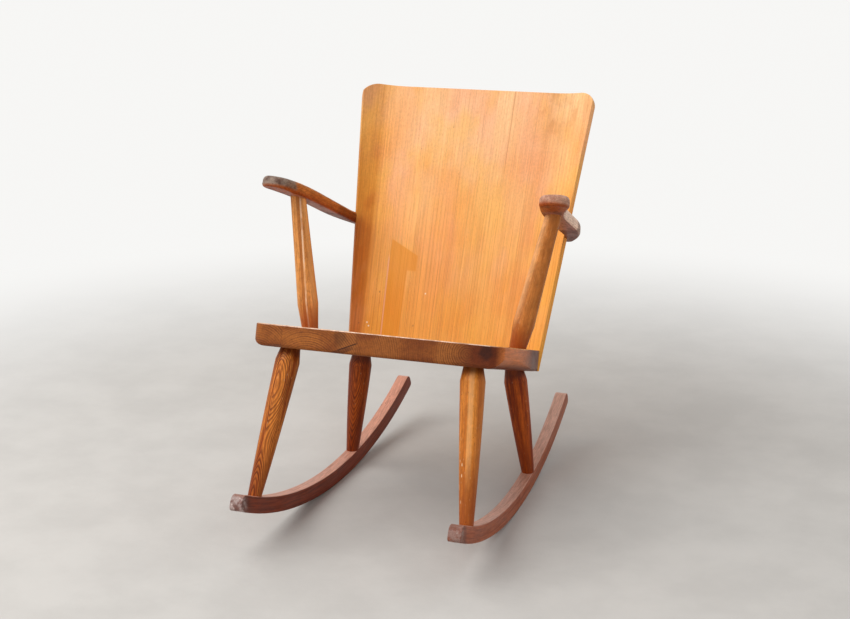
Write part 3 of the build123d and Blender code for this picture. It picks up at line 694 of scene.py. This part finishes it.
class SeatPine(Finish):
    """Pine boards glued side by side, honey-coloured on top, with their end grain on the front edge."""

    # Where each board starts, and the place of its rings' centre across the seat and below its top.
    BOARDS = (
        (-0.3000, -0.235, 0.070),
        (-0.1870, -0.129, 0.094),
        (-0.0310, -0.086, 0.056),
        (0.0930, 0.186, 0.020),
        (0.2355, 0.290, 0.100),
    )
    HALF_WIDTH = 0.3
    RING_WIDTH = 0.0043
    # Stretches across the seat where the wood is paler and the rings stand out more.
    CLEAR = ((-0.060, -0.036), (0.012, 0.046), (0.135, 0.186))
    # Towards the chair's left the rings grow faint and the varnish darkens, up to the paler corner.
    RINGS_FAINT = (0.225, 0.195)
    DARKENING = (0.13, 0.205)
    PALING = (0.236, 0.262)
    # Near the middle, a stretch of the varnish is browner.
    BROWN = (-0.01, 0.10)
    # The knots: place across, depth below the top, half width and strength.
    KNOTS = ((0.221, 0.013, 0.019, 0.95), (-0.065, 0.013, 0.020, 0.45))
    # A slanting crack in the front edge: its ends across, the depth that its line has at the seat's
    # middle, and how far it climbs for each metre towards the chair's left.
    CRACK_ENDS = (-0.064, -0.032)
    CRACK_DEPTH = 0.0085
    CRACK_CLIMB = 0.417
    JOINT_HALF = 0.0003

    DULL = (0.22, 0.058, 0.011)
    CLEAR_COLOUR = (0.52, 0.19, 0.045)
    CLEAR_RINGS = (0.05, 0.009, 0.002)
    DARK_VARNISH = (0.10, 0.014, 0.002)
    PALE_CORNER = (1.0, 0.29, 0.07)
    BROWN_VARNISH = (0.15, 0.032, 0.007)
    KNOT_COLOUR = (0.030, 0.006, 0.003)
    CRACK_COLOUR = (0.03, 0.007, 0.003)
    SHADOW_COLOUR = (0.05, 0.010, 0.004)
    TOP_RINGS = (0.50, 0.17, 0.035)
    # The arris colour is partly rubbed wood and partly a painted highlight.
    RUBBED_AND_LIT_ARRIS = (0.93, 0.66, 0.50)
    DENT_COLOUR = (0.10, 0.028, 0.010)

    def __init__(self, s):
        super().__init__("seat_pine")
        self.s = s
        self.board = self.along(FRONT_EDGE, SEAT_REARWARD)
        self.x, self.depth, self.back = self.parts(self.board)
        self.late = self.rings(self.about_pith(), self.RING_WIDTH, 0.004, (24.0, 24.0, 2.0))
        self.cloud = self.noise(self.board, (13.0, 26.0, 2.0), 3.0, seed=2.2)

    def about_pith(self):
        """Coordinates about each board's own ring centre, which a stepped ramp hands out as a colour."""
        width = 2 * self.HALF_WIDTH
        place = self.math("MULTIPLY_ADD", self.x, 1 / width, 0.5)
        stops = [((start + self.HALF_WIDTH) / width, ((pith + self.HALF_WIDTH) / width, below, 0.0))
                 for start, pith, below in self.BOARDS]
        centre = self.ramp(place, stops, stepped=True)
        across, below, _ = self.add("ShaderNodeSeparateColor", {0: centre}).outputs
        pith = self.math("MULTIPLY_ADD", across, width, -self.HALF_WIDTH)
        x = self.math("SUBTRACT", self.x, pith)
        return self.joined(x, self.math("SUBTRACT", self.depth, below), self.back)

    def add_end_grain(self):
        """The front edge: rings under varnish that darkens towards the chair's left, and a paler corner."""
        self.colour = self.mix(self.span(self.cloud, 0.36, 0.66), rgba(self.s.seat_front), rgba(self.DULL))
        strong = self.span(self.noise(self.board, (14.0, 14.0, 1.0), seed=1.3), 0.38, 0.58, 0.45, 1.0)
        self.strong = self.times(strong, self.span(self.x, *self.RINGS_FAINT, 0.2, 1.0))
        self.tint(self.times(self.late, self.strong), 1.0, self.s.seat_line)
        clear = self.times(self.any_of(self.between(self.x, low, high, 0.014) for low, high in self.CLEAR),
                           self.span(self.cloud, 0.3, 0.55, 0.5, 1.0))
        self.tint(clear, 0.4, self.CLEAR_COLOUR)
        self.tint(self.times(self.late, clear), 0.9, self.CLEAR_RINGS)
        self.tint(self.span(self.x, *self.DARKENING), 0.85, self.DARK_VARNISH)
        bare = self.times(self.span(self.x, *self.PALING), self.span(self.cloud, 0.35, 0.6, 0.75, 1.0))
        self.tint(bare, 0.95, self.PALE_CORNER)
        self.tint(self.between(self.x, *self.BROWN, 0.07), 0.38, self.BROWN_VARNISH)

    def add_knots(self):
        ragged = self.noise(self.board, (90.0, 90.0, 3.0), 4.0)
        for across, deep, half_width, strength in self.KNOTS:
            x = self.math("DIVIDE", self.math("SUBTRACT", self.x, across), half_width)
            y = self.math("DIVIDE", self.math("SUBTRACT", self.depth, deep), half_width * 1.1)
            from_knot = self.math("MULTIPLY_ADD", ragged, 0.7, self.length_of(self.joined(x, y)))
            knot = self.times(self.span(from_knot, 1.3, 0.75), self.span(self.back, 0.03, 0.0))
            self.tint(knot, strength, self.KNOT_COLOUR)

    def add_crack(self):
        """The crack, and a painted shadow below its deep end."""
        start, end = self.CRACK_ENDS
        under = self.math("SUBTRACT", self.depth, self.CRACK_DEPTH)
        slant = self.math("MULTIPLY_ADD", self.x, self.CRACK_CLIMB, under)
        crack = self.times(self.between(slant, -0.0005, 0.0008, 0.0009),
                           self.between(self.x, start, end, 0.004))
        self.tint(crack, 0.9, self.CRACK_COLOUR)
        # A painted shadow in the wedge below the crack's deep end.
        shadow = self.times(self.between(slant, 0.0, 0.009, 0.002),
                            self.between(self.x, -0.075, -0.045, 0.012),
                            self.span(self.depth, 0.024, 0.034))
        self.tint(shadow, 0.6, self.SHADOW_COLOUR)

    def add_top(self):
        """The honey-coloured top, the pale arris along its front, partly rubbed and partly a painted
        highlight, and the joints of the boards.
        """
        upward = self.facing(SEAT_UP)
        rings = self.times(self.late, self.strong)
        top = self.mix(rings, rgba(self.s.seat_top), rgba(self.TOP_RINGS))
        top = self.shaded(top, self.noise(self.board, (120.0, 120.0, 1.5), 3.0, 0.65, 3.0), 0.86, 1.08)
        self.colour = self.mix(self.span(upward, 0.55, 0.9), self.colour, top)
        # The pale arris is partly rubbed wood and partly a painted highlight.
        rubbed = self.span(self.noise(self.board, (60.0, 60.0, 60.0), 4.0), 0.35, 0.6, 0.4, 1.0)
        lit_arris = self.times(self.between(upward, 0.3, 0.97, 0.03), self.span(self.back, 0.02, 0.0), rubbed)
        self.tint(lit_arris, 0.92, self.RUBBED_AND_LIT_ARRIS)
        half = self.JOINT_HALF
        joints = self.any_of(self.between(self.x, start - half, start + half, 0.0004)
                             for start, *_ in self.BOARDS[1:-1])
        self.tint(joints, 0.45, self.s.seat_line)

    def varnish(self):
        """Fine fibres and dents, under varnish."""
        fine = self.fibres(self.board, 1.0)
        self.shade(fine, 0.78, 1.14)
        self.shade(self.noise(self.board, (150.0, 150.0, 40.0), 4.0, 0.7, 5.0), 0.84, 1.12)
        self.tint(self.specks(self.board, (70.0, 70.0, 50.0), 0.13, 0.12), 0.6, self.DENT_COLOUR)
        rough = self.satin(self.noise(self.board, (30.0, 30.0, 8.0), 4.0), 0.34, 0.5)
        waves = self.noise(self.board, (14.0, 14.0, 5.0))
        heights = [(self.late, 0.00008), (fine, 0.00007), (waves, 0.0007)]
        dress("seat", self.surface(rough, heights, **VARNISH))


class CHAIR_OT_seat(bpy.types.Operator):
    """Finish the seat: boards glued side by side, with their end grain on the front edge"""

    bl_idname = "chair.seat"
    bl_label = "Seat"

    def execute(self, context):
        pine = SeatPine(settings())
        pine.add_end_grain()
        pine.add_knots()
        pine.add_crack()
        pine.add_top()
        pine.varnish()
        return {"FINISHED"}


class RockerWood(Finish):
    """Reddish-brown wood whose grain follows the rocker's curve, rubbed on its top and at its front end,
    with a painted sheen on its top.
    """

    # The curve's centre is taken to be this high above the floor.
    HUB_HEIGHT = 0.95
    # Distances from the front end where the dirt and the bare wood begin, and where they are full.
    DIRT = (0.048, 0.020)
    BARE = (0.030, 0.006)
    # Towards the rear, a painted light makes the top paler, from here to there behind the chair's middle.
    LIT_TOWARDS_REAR = (0.12, 0.34)

    STREAK_COLOUR = (0.30, 0.085, 0.045)
    EDGE_COLOUR = (0.50, 0.26, 0.19)
    DARK_END = (0.085, 0.030, 0.022)
    BRIGHT_CHIP = (0.78, 0.62, 0.56)
    DARK_CHIP = (0.07, 0.018, 0.010)

    def __init__(self, node, seed, light, dark):
        super().__init__(node + "_wood")
        self.node = node
        self.seed = seed
        low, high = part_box(node)
        hub = Vector(((low[0] + high[0]) / 2, (low[1] + high[1]) / 2, self.HUB_HEIGHT))
        # Across the grain is the distance from the hub, and along it is the turn about the hub.
        x, y, side = self.parts(self.along(hub, ACROSS, (0, 1, 0)))
        self.curved = self.joined(self.radius(x, y), side, self.math("ARCTAN2", x, y))
        bands = self.noise(self.curved, (300.0, 200.0, 2.0), 3.0, 0.6, seed)
        self.colour = self.mix(self.span(bands, 0.36, 0.66), rgba(light), rgba(dark))
        self.patchy = self.noise(self.curved, (60.0, 60.0, 12.0), 4.0, seed=seed + 1)
        inward = self.vector("MULTIPLY", self.vector("SUBTRACT", hub, self.place), (0, 1, 1))
        self.upward = self.facing(self.vector("NORMALIZE", inward))
        self.rearward = self.parts(self.place)[1]
        self.front_end = low[1]

    def near_front_end(self, start, full):
        """A mask that rises towards the front end, between two distances from it."""
        return self.span(self.rearward, self.front_end + start, self.front_end + full)

    def wear_and_sheen_top(self, pale, lit_rear_colour):
        """The top is pale, partly rubbed and partly a painted sheen, with streaks of the red wood left in
        it, and a painted light towards the rear.
        """
        worn = self.times(self.span(self.upward, 0.5, 0.85), self.span(self.patchy, 0.3, 0.6, 0.8, 1.0))
        # Partly a painted sheen on the top.
        self.tint(worn, 0.95, pale)
        left = self.span(self.noise(self.curved, (420.0, 260.0, 5.0), 3.0, 0.6, self.seed + 4), 0.5, 0.66)
        self.tint(self.times(worn, left), 0.45, self.STREAK_COLOUR)
        # A painted light towards the rear.
        self.tint(self.times(worn, self.span(self.rearward, *self.LIT_TOWARDS_REAR)), 0.55, lit_rear_colour)
        edge = self.times(self.between(self.upward, 0.25, 0.6, 0.15), self.span(self.patchy, 0.45, 0.62))
        self.tint(edge, 0.3, self.EDGE_COLOUR)

    def wear_front_end(self, bare):
        """The front end is bare, in patches with bright chips, and behind that it is dark with dirt."""
        dirty = self.times(self.near_front_end(*self.DIRT), self.span(self.patchy, 0.3, 0.6, 0.6, 1.0))
        self.tint(dirty, 0.62, self.DARK_END)
        ragged = self.noise(self.curved, (110.0, 110.0, 80.0), 5.0, seed=self.seed)
        end = self.times(self.near_front_end(*self.BARE),
                         self.span(ragged, 0.38, 0.60, 0.2, 1.0),
                         self.span(self.upward, 0.95, 0.3, 0.6, 1.0))
        self.tint(end, 0.72, bare)
        chips = self.specks(self.curved, (140.0, 140.0, 110.0), 0.34, 0.4, self.seed + 5)
        self.tint(self.times(chips, end), 0.6, self.BRIGHT_CHIP)

    def varnish(self):
        """Fine fibres and dark chips, under satin varnish."""
        fine = self.noise(self.curved, (800.0, 800.0, 16.0), 3.0, 0.65, self.seed)
        self.shade(fine, 0.80, 1.13)
        self.shade(self.noise(self.curved, (200.0, 200.0, 45.0), 4.0, 0.7, self.seed), 0.88, 1.09)
        self.tint(self.specks(self.curved, (90.0, 90.0, 45.0), 0.13, 0.1, self.seed), 0.6, self.DARK_CHIP)
        heights = [(fine, 0.00007), (self.noise(self.curved, (25.0, 25.0, 8.0)), 0.0006)]
        dress(self.node, self.surface(self.satin(self.patchy, 0.36, 0.55), heights, **SATIN_VARNISH))


class CHAIR_OT_rockers(bpy.types.Operator):
    """Finish the two rockers in reddish-brown wood with rubbed ends, and tops both rubbed and given a
    painted sheen
    """

    bl_idname = "chair.rockers"
    bl_label = "Rockers"

    # Each top colour is partly a painted sheen, and each rear colour a painted light.
    WOODS = {
        # rocker_right's darker wood is partly a painted shade: the side of it that faces the view turns
        # away from the lamp.
        "rocker_right": dict(
            seed=0.7, light=(0.23, 0.037, 0.0095), dark=(0.13, 0.018, 0.004),
            top=(0.68, 0.34, 0.24), rear=(0.72, 0.34, 0.24), end=(0.53, 0.42, 0.395)),
        "rocker_left": dict(
            seed=3.4, light=(0.40, 0.105, 0.042), dark=(0.26, 0.060, 0.022),
            top=(0.56, 0.29, 0.21), rear=(0.88, 0.60, 0.50), end=(0.33, 0.215, 0.185)),
    }

    def execute(self, context):
        for node, colours in self.WOODS.items():
            wood = RockerWood(node, colours["seed"], colours["light"], colours["dark"])
            wood.wear_and_sheen_top(colours["top"], colours["rear"])
            wood.wear_front_end(colours["end"])
            wood.varnish()
        return {"FINISHED"}


class ArmPine(Finish):
    """Orange-brown pine, rubbed bare and stained where the hands rest."""

    RING_WIDTH = 0.0034
    # Distance from the nose where a painted shade darkens the arm against the panel.
    SHADE_AT_PANEL = (0.235, 0.255)
    # The rings' centre lies beside the arm and below it, and climbs towards the rear.
    PITH = Vector((0.02, 0, -0.09))
    PITH_CLIMB = Vector((0, 0, 0.03))

    LIGHT = (0.66, 0.24, 0.055)
    DARK = (0.44, 0.125, 0.024)
    RING_COLOUR = (0.17, 0.036, 0.008)
    # The lower edge's colour: red varnish, partly a painted shade.
    LOW_EDGE_VARNISH_AND_SHADE = (0.30, 0.050, 0.010)
    # A painted sheen colour for the outer side.
    SHEEN_OUTSIDE = (1.0, 0.69, 0.52)
    # A painted shade with a painted reflection of the floor, for the underside.
    SHADED_UNDERSIDE_REFLECTION = (0.38, 0.17, 0.125)
    UNDERSIDE_STAIN = (0.14, 0.05, 0.035)
    # A painted shade where the arm meets the panel.
    PANEL_CONTACT_SHADE = (0.12, 0.022, 0.007)
    PIT_COLOUR = (0.05, 0.010, 0.004)

    def __init__(self, node, seed, bare_from):
        super().__init__(node + "_pine")
        self.node = node
        self.seed = seed
        self.bare_from = bare_from
        low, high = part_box(node)
        under = min(v.co @ ARM_UP for v in frame["nodes"][node].data.vertices)
        # The middle of the arm's front end, on the plane of its underside.
        nose = Vector(((low[0] + high[0]) / 2, low[1], 0))
        nose.z = (under - nose.y * ARM_UP.y) / ARM_UP.z
        self.run = self.along(nose, ARM_REARWARD)
        _, depth, self.distance = self.parts(self.run)
        self.height = self.math("MULTIPLY", depth, -1.0)
        self.upward = self.facing(ARM_UP)
        about_pith = self.along(nose + self.PITH, ARM_REARWARD + self.PITH_CLIMB)
        self.late = self.rings(about_pith, self.RING_WIDTH, 0.006, (14.0, 14.0, 3.0))
        streaks = self.noise(self.run, (90.0, 90.0, 3.0), 3.0, 0.6, seed)
        self.colour = self.mix(self.span(streaks, 0.36, 0.66), rgba(self.LIGHT), rgba(self.DARK))
        self.tint(self.late, 0.5, self.RING_COLOUR)
        self.blotches = self.noise(self.run, (55.0, 55.0, 34.0), 5.0, 0.64, seed)

    def rub_nose(self, reach, rubbed, stained):
        """Where the hand rests, the wood is bare down to its lower edge, which keeps its red varnish under
        a painted shade.
        """
        # Red varnish kept on the lower edge, darkened partly as a painted shade.
        kept_and_shaded = self.times(self.span(self.height, self.bare_from + 0.006, self.bare_from - 0.004),
                          self.span(self.upward, 0.6, 0.2))
        self.tint(kept_and_shaded, 0.8, self.LOW_EDGE_VARNISH_AND_SHADE)
        near = self.span(self.distance, reach, 0.02)
        worn = self.math("ADD", near, self.math("MULTIPLY_ADD", self.blotches, 1.6, -0.8))
        worn = self.times(self.span(worn, 0.3, 0.75),
                          self.span(self.height, self.bare_from - 0.004, self.bare_from + 0.003))
        shades = self.noise(self.run, (42.0, 42.0, 34.0), 4.0, 0.6, self.seed + 2.0)
        bare = self.mix(self.span(shades, 0.36, 0.6), rgba(stained), rgba(rubbed))
        self.colour = self.mix(self.math("MULTIPLY", worn, 0.92), self.colour, bare)

    def add_outside_sheen(self, amount):
        """A painted sheen on the side that faces the chair's left, the left arm's outer one, behind the
        hand.
        """
        outer = self.span(self.facing(ACROSS), 0.15, 0.5)
        behind = self.times(self.span(self.distance, 0.04, 0.10), outer,
                            self.span(self.blotches, 0.3, 0.5, 0.75, 1.0))
        # A painted sheen on the outer side.
        self.tint(behind, amount, self.SHEEN_OUTSIDE)

    def shade_and_stain_under(self):
        """A painted shade on the underside, greyed by a painted reflection of the floor, with stains on it,
        and a painted shade on the sides where the arm meets the panel.
        """
        underside = self.span(self.upward, -0.8, -0.95)
        # Painted shade on the underside, greyed by a painted reflection of the floor.
        self.tint(self.times(underside, self.span(self.distance, 0.05, 0.07)), 0.75, self.SHADED_UNDERSIDE_REFLECTION)
        self.tint(self.times(underside, self.span(self.blotches, 0.5, 0.62)), 0.6, self.UNDERSIDE_STAIN)
        # Painted shade where the arm meets the panel.
        contact_shade = self.times(self.span(self.distance, *self.SHADE_AT_PANEL), self.span(self.upward, 0.7, 0.3))
        self.tint(contact_shade, 0.6, self.PANEL_CONTACT_SHADE)

    def varnish(self):
        """Fine fibres, and pits along the lower edge, under satin varnish."""
        fine = self.fibres(self.run, self.seed)
        self.shade(fine, 0.76, 1.15)
        self.shade(self.noise(self.run, (190.0, 190.0, 70.0), 4.0, 0.7, self.seed), 0.80, 1.14)
        pits = self.specks(self.run, (260.0, 260.0, 160.0), 0.34, 0.36, self.seed + 3)
        low_down = self.span(self.height, self.bare_from + 0.006, self.bare_from - 0.002)
        self.tint(self.times(pits, low_down), 0.85, self.PIT_COLOUR)
        waves = self.noise(self.run, (35.0, 35.0, 14.0))
        heights = [(self.late, 0.00008), (fine, 0.00008), (waves, 0.0006)]
        dress(self.node, self.surface(self.satin(self.blotches, 0.36, 0.55), heights, **SATIN_VARNISH))


class CHAIR_OT_arms(bpy.types.Operator):
    """Finish the two arms: orange-brown pine, rubbed grey-brown where the hands rest"""

    bl_idname = "chair.arms"
    bl_label = "Arms"

    # bare_from is the height above the arm's underside where the bare wood starts, reach is how far back
    # from the nose it goes, and the fourth entry is how strongly a painted sheen lies on the side behind
    # it.
    WOODS = {
        "arm_right": dict(
            seed=1.9, bare_from=0.009, reach=0.075, outside_sheen=0.0,
            rubbed=(0.24, 0.185, 0.150), stained=(0.080, 0.048, 0.042)),
        "arm_left": dict(
            seed=5.8, bare_from=0.0112, reach=0.06, outside_sheen=1.0,
            rubbed=(0.60, 0.33, 0.23), stained=(0.34, 0.15, 0.10)),
    }

    def execute(self, context):
        for node, wood in self.WOODS.items():
            pine = ArmPine(node, wood["seed"], wood["bare_from"])
            pine.rub_nose(wood["reach"], wood["rubbed"], wood["stained"])
            pine.add_outside_sheen(wood["outside_sheen"])
            pine.shade_and_stain_under()
            pine.varnish()
        return {"FINISHED"}


class CHAIR_OT_fastenings(bpy.types.Operator):
    """Finish the steel screws in the panel's back and the wooden dowels in the arms"""

    bl_idname = "chair.fastenings"
    bl_label = "Screws and dowels"

    DARK_STEEL = (0.42, 0.41, 0.40)
    LIGHT_STEEL = (0.62, 0.61, 0.59)
    DARK_BEECH = (0.62, 0.36, 0.18)
    LIGHT_BEECH = (0.78, 0.52, 0.30)
    BEECH_ROUGHNESS = 0.6

    def execute(self, context):
        steel = Finish("screw_steel")
        turned = steel.noise(steel.place, (700.0, 700.0, 700.0), detail=3.0)
        steel.colour = steel.mix(turned, rgba(self.DARK_STEEL), rgba(self.LIGHT_STEEL))
        steel.shader.inputs["Metallic"].default_value = 1.0
        rough = steel.ramp(turned, ((0.3, 0.3), (0.7, 0.5)))
        dress("back_screws", steel.surface(rough, [(turned, 0.00003)]))
        beech = Finish("dowel_wood")
        fine = beech.fibres(beech.along((0, 0, 0), ACROSS, (0, 1, 0)))
        beech.colour = beech.mix(fine, rgba(self.DARK_BEECH), rgba(self.LIGHT_BEECH))
        dress("arm_dowels", beech.surface(self.BEECH_ROUGHNESS, [(fine, 0.0001)]))
        return {"FINISHED"}


class CHAIR_OT_stage(bpy.types.Operator):
    """Set the chair on a plain pale floor, with a soft lamp above and a camera in front"""

    bl_idname = "chair.stage"
    bl_label = "Floor, lamp and camera"

    FLOOR_RADIUS = 9.0
    FLOOR_SIDES = 128
    FLOOR_ROUGHNESS = 0.75
    # From here to there, away from the chair's middle, the floor fades into the white background.
    FADE_START = 0.85
    FADE_END = 2.3

    LAMP_SIZE = 3.5
    LAMP_PLACE = (-1.6, -1.4, 2.9)
    LAMP_AIM = Vector((0, 0, 0.35))
    LAMP_COLOUR = (1.0, 0.99, 0.97)
    SKY_COLOUR = (1.0, 0.99, 0.98)

    CAMERA_PLACE = (1.0621, -2.90672, 1.29791)
    CAMERA_TURN = (73.84795, 0.39719, 19.75429)
    SENSOR_WIDTH = 36.0

    def execute(self, context):
        s = settings()
        self.floor(s.floor_colour)
        self.lamp(context, s.lamp_power)
        self.room(context, s.sky_light)
        self.camera(context, s.lens)
        context.scene.view_settings.view_transform = "Standard"
        return {"FINISHED"}

    def floor(self, colour):
        """A wide disk, pale near the chair and white further off, where only the camera sees the white."""
        bpy.ops.object.select_all(action="DESELECT")
        bpy.ops.mesh.primitive_circle_add(
            vertices=self.FLOOR_SIDES, radius=self.FLOOR_RADIUS, fill_type="NGON", location=(0, 0, 0))
        floor = bpy.context.active_object
        floor.name = "floor"
        finish = Finish("pale_floor")
        finish.colour = tuple(colour)
        finish.shade(finish.noise(finish.place, (5.0, 5.0, 5.0), 6.0, 0.6), 0.95, 1.04)
        grit = finish.noise(finish.place, (40.0, 40.0, 40.0), 4.0)
        floor.data.materials.append(finish.surface(self.FLOOR_ROUGHNESS, [(grit, 0.0006)]))
        white = finish.add("ShaderNodeEmission", {"Color": rgba(WHITE_BACKGROUND), "Strength": 1.0})
        far = finish.span(finish.length_of(finish.place), self.FADE_START, self.FADE_END)
        fade = finish.times(far, finish.add("ShaderNodeLightPath").outputs["Is Camera Ray"])
        blend = {0: fade, 1: finish.shader.outputs[0], 2: white.outputs[0]}
        blended = finish.add("ShaderNodeMixShader", blend).outputs[0]
        finish.feed(finish.output.inputs["Surface"], blended)

    def lamp(self, context, power):
        """One large disk high in front of the chair, to the left of the view."""
        data = bpy.data.lights.new("soft_lamp", "AREA")
        data.shape = "DISK"
        data.size = self.LAMP_SIZE
        data.energy = power
        data.color = self.LAMP_COLOUR
        lamp = bpy.data.objects.new("soft_lamp", data)
        context.scene.collection.objects.link(lamp)
        lamp.location = self.LAMP_PLACE
        lamp.rotation_euler = (self.LAMP_AIM - lamp.location).to_track_quat("-Z", "Y").to_euler()

    def room(self, context, strength):
        """Even light from all round, which the camera and reflections see as a white room."""
        world = bpy.data.worlds.new("room")
        context.scene.world = world
        world.use_nodes = True
        tree = world.node_tree
        tree.nodes.clear()
        output = tree.nodes.new("ShaderNodeOutputWorld")
        lit = tree.nodes.new("ShaderNodeBackground")
        lit.inputs["Color"].default_value = rgba(self.SKY_COLOUR)
        lit.inputs["Strength"].default_value = strength
        seen = tree.nodes.new("ShaderNodeBackground")
        seen.inputs["Color"].default_value = rgba(WHITE_BACKGROUND)
        path = tree.nodes.new("ShaderNodeLightPath")
        white = path.outputs["Is Camera Ray"]
        for ray in ("Is Glossy Ray", "Is Transmission Ray"):
            either = tree.nodes.new("ShaderNodeMath")
            either.operation = "MAXIMUM"
            tree.links.new(white, either.inputs[0])
            tree.links.new(path.outputs[ray], either.inputs[1])
            white = either.outputs[0]
        mix = tree.nodes.new("ShaderNodeMixShader")
        tree.links.new(white, mix.inputs[0])
        tree.links.new(lit.outputs[0], mix.inputs[1])
        tree.links.new(seen.outputs[0], mix.inputs[2])
        tree.links.new(mix.outputs[0], output.inputs["Surface"])

    def camera(self, context, lens):
        """The camera looks down a little on the chair's front, from its left."""
        data = bpy.data.cameras.new("view")
        data.lens = lens
        data.sensor_width = self.SENSOR_WIDTH
        camera = bpy.data.objects.new("view", data)
        context.scene.collection.objects.link(camera)
        camera.location = self.CAMERA_PLACE
        camera.rotation_euler = [radians(turn) for turn in self.CAMERA_TURN]
        context.scene.camera = camera


class CHAIR_PT_panel(bpy.types.Panel):
    """Buttons for each part of the chair and for the stage"""

    bl_idname = "CHAIR_PT_panel"
    bl_label = "Rocking chair"
    bl_space_type = "VIEW_3D"
    bl_region_type = "UI"
    bl_category = "Chair"

    def draw(self, context):
        for operator in OPERATORS:
            self.layout.operator(operator.bl_idname)
        column = self.layout.column()
        for name in ChairSettings.__annotations__:
            column.prop(settings(), name)


OPERATORS = (
    CHAIR_OT_back_panel,
    CHAIR_OT_seat,
    CHAIR_OT_legs,
    CHAIR_OT_rockers,
    CHAIR_OT_arm_posts,
    CHAIR_OT_arms,
    CHAIR_OT_fastenings,
    CHAIR_OT_stage,
)


def register():
    for entry in (ChairSettings, *OPERATORS, CHAIR_PT_panel):
        bpy.utils.register_class(entry)
    bpy.types.Scene.rocking_chair = PointerProperty(type=ChairSettings)


def unregister():
    del bpy.types.Scene.rocking_chair
    for entry in reversed((ChairSettings, *OPERATORS, CHAIR_PT_panel)):
        bpy.utils.unregister_class(entry)


def main():
    # A new file's own cube, light and camera are deleted.
    for name in ("Cube", "Light", "Camera"):
        if name in bpy.data.objects:
            bpy.data.objects.remove(bpy.data.objects[name])
    register()
    for operator in OPERATORS:
        group, name = operator.bl_idname.split(".")
        getattr(getattr(bpy.ops, group), name)()


if __name__ == "__main__":
    main()
